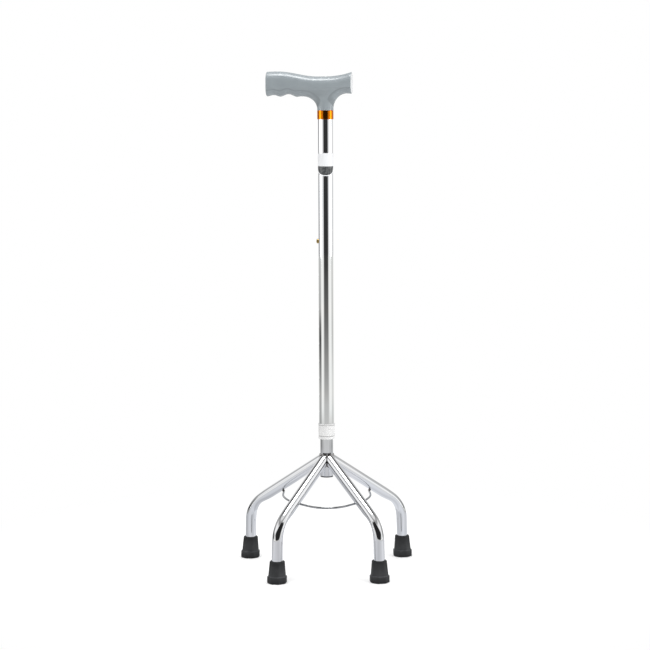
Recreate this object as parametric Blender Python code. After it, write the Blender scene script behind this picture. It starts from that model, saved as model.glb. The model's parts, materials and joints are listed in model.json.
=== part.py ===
# Quad cane: a moulded T grip on a height-adjustable chromed tube, carried by four bent tube legs.
# Metres, +Z up. The origin is on the floor, at the middle of the rectangle round the feet.
# The front is at -Y. The row of height holes and the snap button look to -X.
import math

import bmesh
import bpy
from mathutils import Matrix, Vector

MM = 0.001

# Clearances
SEAT_GAP = 0.3 * MM
SLIDE_GAP = 0.375 * MM
WELD_GAP = 0.15 * MM
MERGE = 0.001 * MM

# Facets of the round pieces
TUBE_SIDES = 32
LEG_SIDES = 20
TIP_SIDES = 24
SMALL_SIDES = 20
HOLE_SIDES = 14
BEND_STEPS = 8
DOME_STEPS = 4
EDGE_STEPS = 2
CUT_OVERRUN = 1.0 * MM
SHARP_ANGLE = math.radians(40)

# Lower tube, 3/4 inch, and the snap button near its top
LOWER_RADIUS = 9.525 * MM
LOWER_WALL = 1.2 * MM
TUBE_EDGE = 0.3 * MM
LOWER_BELOW_LEGS = 29.2 * MM
LOWER_ABOVE_BUTTON = 44.0 * MM
BUTTON_RADIUS = 3.3 * MM
BUTTON_STAND_OUT = 2.8 * MM
BUTTON_DOME = 1.5 * MM
BUTTON_FLANGE_RADIUS = 4.6 * MM
BUTTON_FLANGE_THICKNESS = 0.8 * MM
RIVET_RADIUS = 1.3 * MM
RIVET_HEAD_RADIUS = 2.3 * MM
RIVET_HEAD_THICKNESS = 0.8 * MM

# Leaf spring behind the button
SPRING_THICKNESS = 0.6 * MM
SPRING_WIDTH = 6.4 * MM
SPRING_DEPTH = 38.0 * MM
SPRING_TOP = 6.5 * MM
SPRING_FLAT = 9.0 * MM
SPRING_BEND = 3.0 * MM
SPRING_KNEE_BEND = 6.0 * MM
SPRING_BEND_MIDDLE = 0.9 * MM

# Upper tube, 7/8 inch, with its row of height holes
UPPER_WALL = 1.2 * MM
HOLE_PITCH = 25.4 * MM
HOLE_COUNT = 11
UPPER_BELOW_HOLES = 33.1 * MM
UPPER_ABOVE_HOLES = 191.0 * MM

# Anti-rattle collar on the upper tube's lower end
COLLAR_WALL = 0.85 * MM
COLLAR_ABOVE_LEGS = 26.7 * MM
COLLAR_LENGTH = 22.8 * MM
COLLAR_LIP = 6.3 * MM
COLLAR_GROOVE = 0.45 * MM
COLLAR_TOP_RIB = 2.0 * MM
COLLAR_BOTTOM_RIB = 4.4 * MM
COLLAR_DRAFT = 0.35 * MM
COLLAR_EDGE = 0.5 * MM

# Orange ring between tube and grip
RING_LENGTH = 12.8 * MM
RING_WALL = 0.55 * MM
RING_EDGE = 0.15 * MM

# Plug in the lower end of the lower tube
PLUG_FLANGE = 1.3 * MM
PLUG_RIM = 0.3 * MM
PLUG_DEPTH = 11.0 * MM
PLUG_WALL = 1.6 * MM

# Legs, 5/8 inch tube, all four bent alike
LEG_RADIUS = 7.95 * MM
LEG_WALL = 1.3 * MM
LEG_SLOPE = math.radians(33.4)
LEG_BEND_RADIUS = 42.65 * MM
KNEE_HEIGHT = 81.6 * MM
FOOT_REACH = 129.9 * MM
FOOT_SPLAY = math.radians(1.69)
FRONT_ANGLE = math.radians(34.9)
REAR_ANGLE = math.radians(63.1)
COPE_REACH = 32.0 * MM

# Rubber tips
TIP_HEIGHT = 32.0 * MM
TIP_FLOOR = 6.0 * MM
TIP_TOP_RADIUS = 10.65 * MM
TIP_CONE_RADIUS = 12.9 * MM
TIP_BAND_RADIUS = 14.45 * MM
TIP_BAND_HEIGHT = 10.0 * MM
TIP_BAND_STEP = 0.8 * MM
TIP_EDGE = 1.5 * MM
TIP_LIP = 1.2 * MM
TIP_FACETS = 8
TIP_FACET_SHARE = 0.965
SOLE_GROOVES = (5.5 * MM, 9.0 * MM)
SOLE_GROOVE_WIDTH = 1.6 * MM
SOLE_GROOVE_DEPTH = 1.2 * MM

# Steel washers in the tips
WASHER_RADIUS = 7.6 * MM
WASHER_HOLE_RADIUS = 2.6 * MM
WASHER_THICKNESS = 1.5 * MM

# Wire brace under the legs
WIRE_RADIUS = 1.5 * MM
WIRE_BELOW_LEGS = 59.7 * MM
WIRE_FRONT_BULGE = 30.8 * MM
WIRE_SIDE_PULL = 1.0 * MM
WIRE_SIDE_FORWARD = 13.0 * MM
WIRE_END_RUN = 4.0 * MM
WIRE_FRONT_SLANT = 1.035
WIRE_REAR_SLANT = 1.06
WIRE_POINTS_A_SPAN = 6
WIRE_ROUNDNESS = 1

# Moulded grip. Lengths run from the shaft's axis, heights from the neck's lower face.
GRIP_TURN = math.radians(-9.0)
GRIP_HALF_WIDTH = 13.5 * MM
NECK_RADIUS = 11.1 * MM
NECK_CORE = 0.2 * MM
NECK_TAPER_HEIGHT = 22.0 * MM
NECK_TAPER_CUTS = 4
TAIL_REACH = 85.5 * MM
TAIL_TOP = 55.3 * MM
TAIL_BOTTOM = 20.0 * MM
CREST_REACH = 68.8 * MM
CREST_TOP = 56.2 * MM
SADDLE_REACH = 12.1 * MM
SADDLE_TOP = 48.4 * MM
NOSE_REACH = 38.9 * MM
NOSE_TOP = 55.3 * MM
NOSE_BOTTOM = 23.6 * MM
FIRST_RIDGE_REACH = 65.2 * MM
FIRST_RIDGE_HEIGHT = 19.5 * MM
FIRST_GROOVE_DEPTH = 2.0 * MM
SECOND_RIDGE_REACH = 40.5 * MM
SECOND_RIDGE_HEIGHT = 19.1 * MM
SECOND_GROOVE_DEPTH = 4.2 * MM
GROOVE_SHAPE = 1.4
SHOULDER_RISE = 0.3 * MM
REAR_FILLET_REACH = 33.0 * MM
REAR_FILLET_HEIGHT = 20.4 * MM
NOSE_FILLET_REACH = 32.0 * MM
NOSE_FILLET_HEIGHT = 24.0 * MM
NECK_STRAIGHT = 1.5 * MM
TOP_ROUNDING = 12.0 * MM
UNDER_ROUNDING = 9.5 * MM
ROUNDING_STEPS = 5
TOP_STEPS = 16
FILLET_STEPS = 7
FIRST_GROOVE_STEPS = 7
SECOND_GROOVE_STEPS = 9
SHOULDER_STEPS = 2
CAP_STEPS = 10
TAIL_EDGE = 1.6 * MM
NOSE_EDGE = 0.6 * MM
TENON_LENGTH = 45.0 * MM
TENON_EDGE = 1.0 * MM

# End plug of the grip's nose
CAP_RIM = 1.2 * MM
CAP_THICKNESS = 1.8 * MM
CAP_STAND_OUT = 0.2 * MM
CAP_EDGE = 0.4 * MM
CAP_SPIGOT_RADIUS = 6.5 * MM
CAP_SPIGOT_LENGTH = 9.0 * MM

# Sizes that follow from the ones above
LEG_BORE_RADIUS = LEG_RADIUS - LEG_WALL
KNEE_REACH = FOOT_REACH - KNEE_HEIGHT * math.tan(FOOT_SPLAY)
LEG_APEX_HEIGHT = KNEE_HEIGHT + KNEE_REACH * math.tan(LEG_SLOPE)
WIRE_HEIGHT = LEG_APEX_HEIGHT - WIRE_BELOW_LEGS
LOWER_BORE_RADIUS = LOWER_RADIUS - LOWER_WALL
LOWER_BOTTOM = LEG_APEX_HEIGHT - LOWER_BELOW_LEGS
COLLAR_BOTTOM = LEG_APEX_HEIGHT + COLLAR_ABOVE_LEGS
UPPER_BORE_RADIUS = LOWER_RADIUS + SLIDE_GAP
UPPER_RADIUS = UPPER_BORE_RADIUS + UPPER_WALL
UPPER_BOTTOM = COLLAR_BOTTOM + COLLAR_LIP + SEAT_GAP
LOWEST_HOLE = UPPER_BOTTOM + UPPER_BELOW_HOLES
BUTTON_HEIGHT = LOWEST_HOLE + (HOLE_COUNT - 1) * HOLE_PITCH
LOWER_TOP = BUTTON_HEIGHT + LOWER_ABOVE_BUTTON
UPPER_TOP = BUTTON_HEIGHT + UPPER_ABOVE_HOLES
HOLE_RADIUS = BUTTON_RADIUS + SEAT_GAP
COLLAR_RADIUS = UPPER_RADIUS + SEAT_GAP + COLLAR_WALL
NECK_BOTTOM = UPPER_TOP + SEAT_GAP
TIP_BORE_RADIUS = LEG_RADIUS + SEAT_GAP
WASHER_BOTTOM = TIP_FLOOR + SEAT_GAP
LEG_END_HEIGHT = WASHER_BOTTOM + WASHER_THICKNESS + SEAT_GAP
FRONT_ROW = FOOT_REACH * math.cos(FRONT_ANGLE)
REAR_ROW = FOOT_REACH * math.cos(REAR_ANGLE)
SHAFT_Y = (FRONT_ROW - REAR_ROW) / 2
SHAFT = Vector((0, SHAFT_Y, 0))

# A leg's bearing is measured from -Y, the front, round towards +X.
LEG_BEARINGS = {
    "front_left": -FRONT_ANGLE,
    "front_right": FRONT_ANGLE,
    "rear_left": REAR_ANGLE - math.pi,
    "rear_right": math.pi - REAR_ANGLE,
}

# Finishes: colour, roughness, metallic
CHROME = ((0.80, 0.81, 0.82), 0.08, 1.0)
ORANGE_ANODISED = ((0.85, 0.32, 0.02), 0.22, 1.0)
BRASS = ((0.62, 0.45, 0.16), 0.28, 1.0)
SPRING_STEEL = ((0.50, 0.51, 0.53), 0.35, 1.0)
GREY_PLASTIC = ((0.30, 0.33, 0.35), 0.28, 0.0)
PALE_PLASTIC = ((0.76, 0.76, 0.75), 0.40, 0.0)
BLACK_PLASTIC = ((0.02, 0.02, 0.02), 0.45, 0.0)
BLACK_RUBBER = ((0.035, 0.035, 0.035), 0.70, 0.0)


# Helpers

def clear_scene():
    for thing in list(bpy.data.objects):
        bpy.data.objects.remove(thing, do_unlink=True)


def finish_material(name, finish):
    colour, roughness, metallic = finish
    material = bpy.data.materials.new(name + "_finish")
    material.use_nodes = True
    shader = material.node_tree.nodes["Principled BSDF"]
    shader.inputs["Base Color"].default_value = (*colour, 1.0)
    shader.inputs["Roughness"].default_value = roughness
    shader.inputs["Metallic"].default_value = metallic
    return material


def add_object(name, bm, finish=None):
    """The mesh as an object, smooth but for its sharp edges. Without a finish it is a hidden helper."""
    bmesh.ops.recalc_face_normals(bm, faces=bm.faces[:])
    mesh = bpy.data.meshes.new(name)
    bm.to_mesh(mesh)
    bm.free()
    mesh.shade_smooth()
    mesh.set_sharp_from_angle(angle=SHARP_ANGLE)
    thing = bpy.data.objects.new(name, mesh)
    bpy.context.scene.collection.objects.link(thing)
    if finish:
        mesh.materials.append(finish_material(name, finish))
    else:
        thing.hide_render = True
        thing.display_type = "WIRE"
    return thing


def add_boolean(thing, other, operation):
    step = thing.modifiers.new(operation.lower() + "_" + other.name, "BOOLEAN")
    step.operation = operation
    step.solver = "EXACT"
    step.object = other


def turned(profile, sides):
    """A bmesh turned round Z from (radius, height) points. Radius 0 closes it on the axis."""
    bm = bmesh.new()
    verts = [bm.verts.new((radius, 0, height)) for radius, height in profile]
    edges = [bm.edges.new(pair) for pair in zip(verts, verts[1:])]
    if profile[0][0] > 0:
        edges.append(bm.edges.new((verts[-1], verts[0])))
    bmesh.ops.spin(
        bm, geom=verts + edges, cent=(0, 0, 0), axis=(0, 0, 1), angle=math.tau, steps=sides, use_merge=True
    )
    bmesh.ops.remove_doubles(bm, verts=bm.verts[:], dist=MERGE)
    return bm


def sleeve_profile(inner, outer, bottom, top, edge):
    """A straight sleeve with small chamfers on its outer rims."""
    return [
        (inner, bottom),
        (outer - edge, bottom),
        (outer, bottom + edge),
        (outer, top - edge),
        (outer - edge, top),
        (inner, top),
    ]


def rod(start, end, radius, sides):
    """A bmesh cylinder from one point to another."""
    way = end - start
    turn = Vector((0, 0, 1)).rotation_difference(way).to_matrix().to_4x4()
    bm = bmesh.new()
    bmesh.ops.create_cone(
        bm,
        cap_ends=True,
        segments=sides,
        radius1=radius,
        radius2=radius,
        depth=way.length,
        matrix=Matrix.Translation((start + end) / 2) @ turn,
    )
    return bm


def place(bm, matrix):
    bmesh.ops.transform(bm, matrix=matrix, verts=bm.verts[:])
    return bm


def join(target, extra):
    """Adds one bmesh to another through a throw-away mesh."""
    mesh = bpy.data.meshes.new("joined")
    extra.to_mesh(mesh)
    extra.free()
    target.from_mesh(mesh)
    bpy.data.meshes.remove(mesh)
    return target


def on_shaft():
    return Matrix.Translation(SHAFT)


def prism(outline, depth_axis, start, end):
    """A closed outline of 3-D points, moved to start along an axis and extruded to end."""
    bm = bmesh.new()
    face = bm.faces.new([bm.verts.new(Vector(point) + depth_axis * start) for point in outline])
    grown = bmesh.ops.extrude_face_region(bm, geom=[face])
    moved = [item for item in grown["geom"] if isinstance(item, bmesh.types.BMVert)]
    bmesh.ops.translate(bm, verts=moved, vec=depth_axis * (end - start))
    return bm


def arc(centre, radius, start, end, steps):
    """Points of an arc in a plane, with angles in radians."""
    turns = [start + (end - start) * step / steps for step in range(steps + 1)]
    return [(centre[0] + radius * math.cos(turn), centre[1] + radius * math.sin(turn)) for turn in turns]


# Tubes and the pieces on them

def hole_cutter(name, heights, radius, reach):
    """Rods that point to -X through one wall of the shaft's tubes."""
    bm = bmesh.new()
    for height in heights:
        start = SHAFT + Vector((0, 0, height))
        join(bm, rod(start, start + Vector((-reach, 0, 0)), radius, HOLE_SIDES))
    return add_object(name, bm)


def make_lower_tube():
    profile = sleeve_profile(LOWER_BORE_RADIUS, LOWER_RADIUS, LOWER_BOTTOM, LOWER_TOP, TUBE_EDGE)
    tube = add_object("lower_tube", place(turned(profile, TUBE_SIDES), on_shaft()), CHROME)
    cutter = hole_cutter("button_hole_cutter", [BUTTON_HEIGHT], HOLE_RADIUS, UPPER_RADIUS)
    add_boolean(tube, cutter, "DIFFERENCE")


def make_upper_tube():
    profile = sleeve_profile(UPPER_BORE_RADIUS, UPPER_RADIUS, UPPER_BOTTOM, UPPER_TOP, TUBE_EDGE)
    tube = add_object("upper_tube", place(turned(profile, TUBE_SIDES), on_shaft()), CHROME)
    heights = [LOWEST_HOLE + HOLE_PITCH * index for index in range(HOLE_COUNT)]
    cutter = hole_cutter("height_hole_cutter", heights, HOLE_RADIUS, UPPER_RADIUS + BUTTON_STAND_OUT)
    add_boolean(tube, cutter, "DIFFERENCE")


def make_collar():
    """A sleeve over the upper tube's end, whose inner lip runs on the lower tube."""
    bore = UPPER_RADIUS + SEAT_GAP
    lip = LOWER_RADIUS + SEAT_GAP
    top = COLLAR_BOTTOM + COLLAR_LENGTH
    low = COLLAR_RADIUS - COLLAR_DRAFT
    low_groove = COLLAR_BOTTOM + COLLAR_BOTTOM_RIB
    high_groove = top - COLLAR_TOP_RIB
    profile = [
        (lip, COLLAR_BOTTOM),
        (low - COLLAR_EDGE, COLLAR_BOTTOM),
        (low, COLLAR_BOTTOM + COLLAR_EDGE),
        (low, low_groove - COLLAR_GROOVE),
        (low - COLLAR_GROOVE, low_groove),
        (low, low_groove + COLLAR_GROOVE),
        (COLLAR_RADIUS, high_groove - COLLAR_GROOVE),
        (COLLAR_RADIUS - COLLAR_GROOVE, high_groove),
        (COLLAR_RADIUS, high_groove + COLLAR_GROOVE),
        (COLLAR_RADIUS, top - COLLAR_EDGE),
        (COLLAR_RADIUS - COLLAR_EDGE, top),
        (bore, top),
        (bore, COLLAR_BOTTOM + COLLAR_LIP),
        (lip, COLLAR_BOTTOM + COLLAR_LIP),
    ]
    add_object("anti_rattle_collar", place(turned(profile, TUBE_SIDES), on_shaft()), PALE_PLASTIC)


def make_ring():
    bore = UPPER_RADIUS + SEAT_GAP
    profile = sleeve_profile(bore, bore + RING_WALL, UPPER_TOP - RING_LENGTH, UPPER_TOP, RING_EDGE)
    add_object("collar_ring", place(turned(profile, TUBE_SIDES), on_shaft()), ORANGE_ANODISED)


def make_tube_plug():
    """A flange under the lower tube, with a hollow spigot inside it."""
    spigot = LOWER_BORE_RADIUS - SEAT_GAP
    flange_top = LOWER_BOTTOM - SEAT_GAP
    bottom = flange_top - PLUG_FLANGE
    profile = [
        (0, bottom),
        (LOWER_RADIUS - PLUG_RIM, bottom),
        (LOWER_RADIUS, bottom + PLUG_RIM),
        (LOWER_RADIUS, flange_top),
        (spigot, flange_top),
        (spigot, LOWER_BOTTOM + PLUG_DEPTH),
        (spigot - PLUG_WALL, LOWER_BOTTOM + PLUG_DEPTH),
        (spigot - PLUG_WALL, LOWER_BOTTOM + PLUG_WALL),
        (0, LOWER_BOTTOM + PLUG_WALL),
    ]
    add_object("tube_end_plug", place(turned(profile, TUBE_SIDES), on_shaft()), BLACK_PLASTIC)


# Snap button and its spring

def inside_reach(half_width):
    """How far from the axis a piece of this half width can lie inside the lower tube's bore."""
    flat = LOWER_BORE_RADIUS * math.cos(math.pi / TUBE_SIDES) - SEAT_GAP
    return math.sqrt(flat**2 - half_width**2)


def make_button():
    """Turned round the axis of its travel, which is X. The object's origin is on that axis."""
    tip = UPPER_RADIUS + BUTTON_STAND_OUT
    flange = inside_reach(BUTTON_FLANGE_RADIUS)
    back = flange - BUTTON_FLANGE_THICKNESS
    head = back - SEAT_GAP - SPRING_THICKNESS - SEAT_GAP
    dome = arc((0, 0), 1.0, 0, math.pi / 2, DOME_STEPS)
    rounded = [(BUTTON_RADIUS * x, tip - BUTTON_DOME + BUTTON_DOME * z) for x, z in dome[:-1]]
    profile = [
        (0, head - RIVET_HEAD_THICKNESS),
        (RIVET_HEAD_RADIUS, head - RIVET_HEAD_THICKNESS),
        (RIVET_HEAD_RADIUS, head),
        (RIVET_RADIUS, head),
        (RIVET_RADIUS, back),
        (BUTTON_FLANGE_RADIUS, back),
        (BUTTON_FLANGE_RADIUS, flange),
        (BUTTON_RADIUS, flange),
    ]
    bm = turned(profile + rounded + [(0, tip)], SMALL_SIDES)
    place(bm, Matrix.Rotation(-math.pi / 2, 4, "Y"))
    button = add_object("snap_button", bm, BRASS)
    button.location = SHAFT + Vector((0, 0, BUTTON_HEIGHT))


def rounded_corner(before, corner, after, radius, steps):
    """The arc that rounds a corner of a path, as a list of points."""
    back = (before - corner).normalized()
    ahead = (after - corner).normalized()
    half = back.angle(ahead) / 2
    centre = corner + (back + ahead).normalized() * (radius / math.sin(half))
    start = corner + back * (radius / math.tan(half)) - centre
    end = corner + ahead * (radius / math.tan(half)) - centre
    turn = start.angle(end)
    points = []
    for step in range(steps + 1):
        share = step / steps
        mix = start * math.sin((1 - share) * turn) + end * math.sin(share * turn)
        points.append(centre + mix / math.sin(turn))
    return points


def make_button_spring():
    """A strip bent to a V. Its left leg backs the button, its right leg bears on the far wall."""
    left = -inside_reach(BUTTON_FLANGE_RADIUS) + BUTTON_FLANGE_THICKNESS + SEAT_GAP + SPRING_THICKNESS / 2
    right = inside_reach(SPRING_WIDTH / 2) - SPRING_THICKNESS / 2
    top = BUTTON_HEIGHT + SPRING_TOP
    knee = BUTTON_HEIGHT - SPRING_FLAT
    bottom = BUTTON_HEIGHT - SPRING_DEPTH
    corners = [
        Vector((left, top)),
        Vector((left, knee)),
        Vector((SPRING_BEND_MIDDLE - SPRING_BEND, bottom)),
        Vector((SPRING_BEND_MIDDLE + SPRING_BEND, bottom)),
        Vector((right, knee)),
        Vector((right, top)),
    ]
    bends = [SPRING_KNEE_BEND, SPRING_BEND, SPRING_BEND, SPRING_KNEE_BEND]
    path = [corners[0]]
    for index, bend in enumerate(bends, start=1):
        path += rounded_corner(corners[index - 1], corners[index], corners[index + 1], bend, EDGE_STEPS + 1)
    path.append(corners[-1])
    inner = []
    outer = []
    for index, point in enumerate(path):
        way = path[min(index + 1, len(path) - 1)] - path[max(index - 1, 0)]
        across = Vector((-way.y, way.x)).normalized() * (SPRING_THICKNESS / 2)
        inner.append(point + across)
        outer.append(point - across)
    outline = [(point.x, 0, point.y) for point in outer + inner[::-1]]
    bm = place(prism(outline, Vector((0, 1, 0)), -SPRING_WIDTH / 2, SPRING_WIDTH / 2), on_shaft())
    spring = add_object("button_spring", bm, SPRING_STEEL)
    middle = SHAFT + Vector((0, 0, BUTTON_HEIGHT))
    hole = rod(middle, middle + Vector((-LOWER_BORE_RADIUS, 0, 0)), RIVET_RADIUS + SEAT_GAP, HOLE_SIDES)
    add_boolean(spring, add_object("rivet_hole_cutter", hole), "DIFFERENCE")


# Legs. Each is drawn in its own frame: X outwards from the shaft, Z up.

def leg_frame(bearing):
    """Turns a leg's frame so that its X points to the bearing, with the shaft's axis at its origin."""
    return on_shaft() @ Matrix.Rotation(bearing - math.pi / 2, 4, "Z")


def grow_edges(bm, edges, offset):
    grown = bmesh.ops.extrude_edge_only(bm, edges=edges)["geom"]
    verts = [item for item in grown if isinstance(item, bmesh.types.BMVert)]
    bmesh.ops.translate(bm, verts=verts, vec=offset)
    return [item for item in grown if isinstance(item, bmesh.types.BMEdge)]


def close_wall(bm, outer, inner):
    """Faces across a tube's wall, from each edge of the outer rim to the nearest points of the inner one."""
    rim = {vert for edge in inner for vert in edge.verts}
    for edge in outer:
        first, second = edge.verts
        near = [min(rim, key=lambda vert: (vert.co - end.co).length) for end in (second, first)]
        bm.faces.new([first, second, *near])


def bent_tube():
    """A hollow tube: down the slope from the shaft's axis, round the knee and down to the foot."""
    slope = Vector((math.cos(LEG_SLOPE), 0, -math.sin(LEG_SLOPE)))
    down = Vector((math.sin(FOOT_SPLAY), 0, -math.cos(FOOT_SPLAY)))
    turn = slope.angle(down)
    tangent = LEG_BEND_RADIUS * math.tan(turn / 2)
    apex = Vector((0, 0, LEG_APEX_HEIGHT))
    knee = Vector((KNEE_REACH, 0, KNEE_HEIGHT))
    bend_start = knee - slope * tangent
    bend_end = knee + down * tangent
    centre = bend_start + Vector((slope.z, 0, -slope.x)) * LEG_BEND_RADIUS
    placing = Matrix.Translation(apex) @ Vector((0, 0, 1)).rotation_difference(slope).to_matrix().to_4x4()
    bm = bmesh.new()
    ends = []
    for radius in (LEG_RADIUS, LEG_BORE_RADIUS):
        ring = bmesh.ops.create_circle(bm, segments=LEG_SIDES, radius=radius, matrix=placing)
        first = list({edge for vert in ring["verts"] for edge in vert.link_edges})
        straight = grow_edges(bm, first, bend_start - apex)
        spun = bmesh.ops.spin(
            bm, geom=straight, cent=centre, axis=(0, 1, 0), angle=turn, steps=BEND_STEPS, use_duplicate=False
        )
        bent = [item for item in spun["geom_last"] if isinstance(item, bmesh.types.BMEdge)]
        last = grow_edges(bm, bent, down * (bend_end.z - LEG_END_HEIGHT))
        for vert in {vert for edge in last for vert in edge.verts}:
            vert.co += down * ((vert.co.z - LEG_END_HEIGHT) / math.cos(FOOT_SPLAY))
        ends.append((first, last))
    for outer, inner in zip(*ends):
        close_wall(bm, outer, inner)
    return bm


def sector(start, end):
    """An upright wedge between two bearings, set back from both by the weld gap."""
    reach = 2 * FOOT_REACH
    rays = [Vector((math.sin(bearing), -math.cos(bearing), 0)) for bearing in (start, end)]
    middle = (rays[0] + rays[1]).normalized()
    tip = middle * (WELD_GAP / math.sin(rays[0].angle(rays[1]) / 2))
    corners = [tip, tip + rays[0] * reach, tip + middle * 2 * reach, tip + rays[1] * reach]
    return place(prism(corners, Vector((0, 0, 1)), -TIP_HEIGHT, LOWER_TOP), on_shaft())


def make_legs():
    """Each leg is coped to the lower tube and mitred against its two neighbours."""
    cope_sides = 2 * TUBE_SIDES
    cope_radius = (LOWER_RADIUS + SEAT_GAP) / math.cos(math.pi / cope_sides)
    bottom = SHAFT + Vector((0, 0, LEG_APEX_HEIGHT - COPE_REACH))
    top = SHAFT + Vector((0, 0, LEG_APEX_HEIGHT + COPE_REACH))
    cope = add_object("leg_cope_cutter", rod(bottom, top, cope_radius, cope_sides))
    side_mitre = (FRONT_ANGLE + math.pi - REAR_ANGLE) / 2
    mitres = {
        "front_left": (-side_mitre, 0),
        "front_right": (0, side_mitre),
        "rear_left": (-math.pi, -side_mitre),
        "rear_right": (side_mitre, math.pi),
    }
    for place_name, bearing in LEG_BEARINGS.items():
        leg = add_object("leg_" + place_name, place(bent_tube(), leg_frame(bearing)), CHROME)
        wedge = add_object("mitre_" + place_name, sector(*mitres[place_name]))
        add_boolean(leg, wedge, "INTERSECT")
        add_boolean(leg, cope, "DIFFERENCE")


# Feet

def foot_frame(bearing):
    """A foot's frame: Z leans with the leg's lower end, and the floor stays level."""
    lean = Matrix.Identity(4)
    lean[0][2] = -math.tan(FOOT_SPLAY)
    return leg_frame(bearing) @ Matrix.Translation((FOOT_REACH, 0, 0)) @ lean


def facet_share(turn):
    """How far the outline of a softly faceted tip reaches at this angle, as a share of its full radius."""
    step = math.tau / TIP_FACETS
    off_middle = abs((turn % step) - step / 2)
    return min(1.0, TIP_FACET_SHARE / math.cos(off_middle))


def tip_profile():
    """Sole with its grooves, rounded lower edge, band, cone, rounded lip and the bore for the leg."""
    profile = [(0, 0)]
    for radius in SOLE_GROOVES:
        outer = radius + SOLE_GROOVE_WIDTH
        profile += [(radius, 0), (radius, SOLE_GROOVE_DEPTH), (outer, SOLE_GROOVE_DEPTH), (outer, 0)]
    profile += arc((TIP_BAND_RADIUS - TIP_EDGE, TIP_EDGE), TIP_EDGE, -math.pi / 2, 0, EDGE_STEPS)
    profile += [
        (TIP_BAND_RADIUS, TIP_BAND_HEIGHT - TIP_BAND_STEP),
        (TIP_BAND_RADIUS - TIP_BAND_STEP, TIP_BAND_HEIGHT),
        (TIP_CONE_RADIUS, TIP_BAND_HEIGHT),
    ]
    profile += arc((TIP_TOP_RADIUS - TIP_LIP, TIP_HEIGHT - TIP_LIP), TIP_LIP, 0, math.pi / 2, EDGE_STEPS)
    profile += [(TIP_BORE_RADIUS, TIP_HEIGHT), (TIP_BORE_RADIUS, TIP_FLOOR), (0, TIP_FLOOR)]
    return profile


def make_tips():
    washer_top = WASHER_BOTTOM + WASHER_THICKNESS
    washer = [
        (WASHER_HOLE_RADIUS, WASHER_BOTTOM),
        (WASHER_RADIUS, WASHER_BOTTOM),
        (WASHER_RADIUS, washer_top),
        (WASHER_HOLE_RADIUS, washer_top),
    ]
    profile = tip_profile()
    outside = SOLE_GROOVES[-1] + SOLE_GROOVE_WIDTH
    for place_name, bearing in LEG_BEARINGS.items():
        bm = turned(profile, TIP_SIDES)
        for vert in bm.verts:
            radius = math.hypot(vert.co.x, vert.co.y)
            on_cone = vert.co.z > TIP_FLOOR and radius > TIP_BORE_RADIUS + MERGE
            if radius > outside + MERGE or on_cone:
                share = facet_share(math.atan2(vert.co.y, vert.co.x))
                vert.co.x *= share
                vert.co.y *= share
        add_object("rubber_tip_" + place_name, place(bm, foot_frame(bearing)), BLACK_RUBBER)
        disc = place(turned(washer, HOLE_SIDES), foot_frame(bearing))
        add_object("tip_washer_" + place_name, disc, SPRING_STEEL)


# Wire brace, one smooth curve at one height, which lies against the undersides of all four legs

def wire_reach(slant):
    """How far from the shaft the wire passes under a leg. It sits lower where it crosses the leg askew."""
    below = (LEG_RADIUS + WIRE_RADIUS + SEAT_GAP) * slant / math.cos(LEG_SLOPE)
    return (WIRE_BELOW_LEGS - below) / math.tan(LEG_SLOPE)


def make_brace_wire():
    front_reach = wire_reach(WIRE_FRONT_SLANT)
    rear_reach = wire_reach(WIRE_REAR_SLANT)
    rear = Vector((rear_reach * math.sin(REAR_ANGLE), rear_reach * math.cos(REAR_ANGLE), 0))
    front = Vector((front_reach * math.sin(FRONT_ANGLE), -front_reach * math.cos(FRONT_ANGLE), 0))
    side = [
        rear + Vector((0, WIRE_END_RUN, 0)),
        rear,
        Vector((rear.x - WIRE_SIDE_PULL, -WIRE_SIDE_FORWARD, 0)),
        front,
    ]
    middle = [Vector((0, front.y - WIRE_FRONT_BULGE, 0))]
    points = side + middle + [Vector((-point.x, point.y, 0)) for point in side[::-1]]
    curve = bpy.data.curves.new("brace_wire", "CURVE")
    curve.dimensions = "3D"
    curve.resolution_u = WIRE_POINTS_A_SPAN
    curve.bevel_depth = WIRE_RADIUS
    curve.bevel_resolution = WIRE_ROUNDNESS
    curve.use_fill_caps = True
    spline = curve.splines.new("BEZIER")
    spline.bezier_points.add(len(points) - 1)
    for knot, point in zip(spline.bezier_points, points):
        knot.co = point
        knot.handle_left_type = "AUTO"
        knot.handle_right_type = "AUTO"
    curve.materials.append(finish_material("brace_wire", CHROME))
    wire = bpy.data.objects.new("brace_wire", curve)
    wire.location = SHAFT + Vector((0, 0, WIRE_HEIGHT))
    bpy.context.scene.collection.objects.link(wire)


# Grip. It is drawn in a frame with X along the arm towards the nose and Z up from the neck's lower face.

def blend(share):
    """A smooth step from 0 to 1."""
    share = max(0.0, min(1.0, share))
    return share * share * (3 - 2 * share)


def top_height(x):
    """The hand's side of the grip: a crest over the tail, a saddle over the neck and a raised nose."""
    if x < -CREST_REACH:
        share = (x + CREST_REACH) / (CREST_REACH - TAIL_REACH)
        return CREST_TOP + (TAIL_TOP - CREST_TOP) * share**2
    if x < -SADDLE_REACH:
        return CREST_TOP + (SADDLE_TOP - CREST_TOP) * blend((x + CREST_REACH) / (CREST_REACH - SADDLE_REACH))
    return SADDLE_TOP + (NOSE_TOP - SADDLE_TOP) * max(0.0, x / NOSE_REACH) ** 2


def finger_groove(start, end, depth, steps):
    """The underside from one ridge to the next, each (x, height). The start ridge itself is left out."""
    points = []
    for step in range(1, steps + 1):
        share = step / steps
        x = start[0] + (end[0] - start[0]) * share
        level = start[1] + (end[1] - start[1]) * share
        points.append((x, level + depth * math.sin(math.pi * share) ** GROOVE_SHAPE))
    return points


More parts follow.
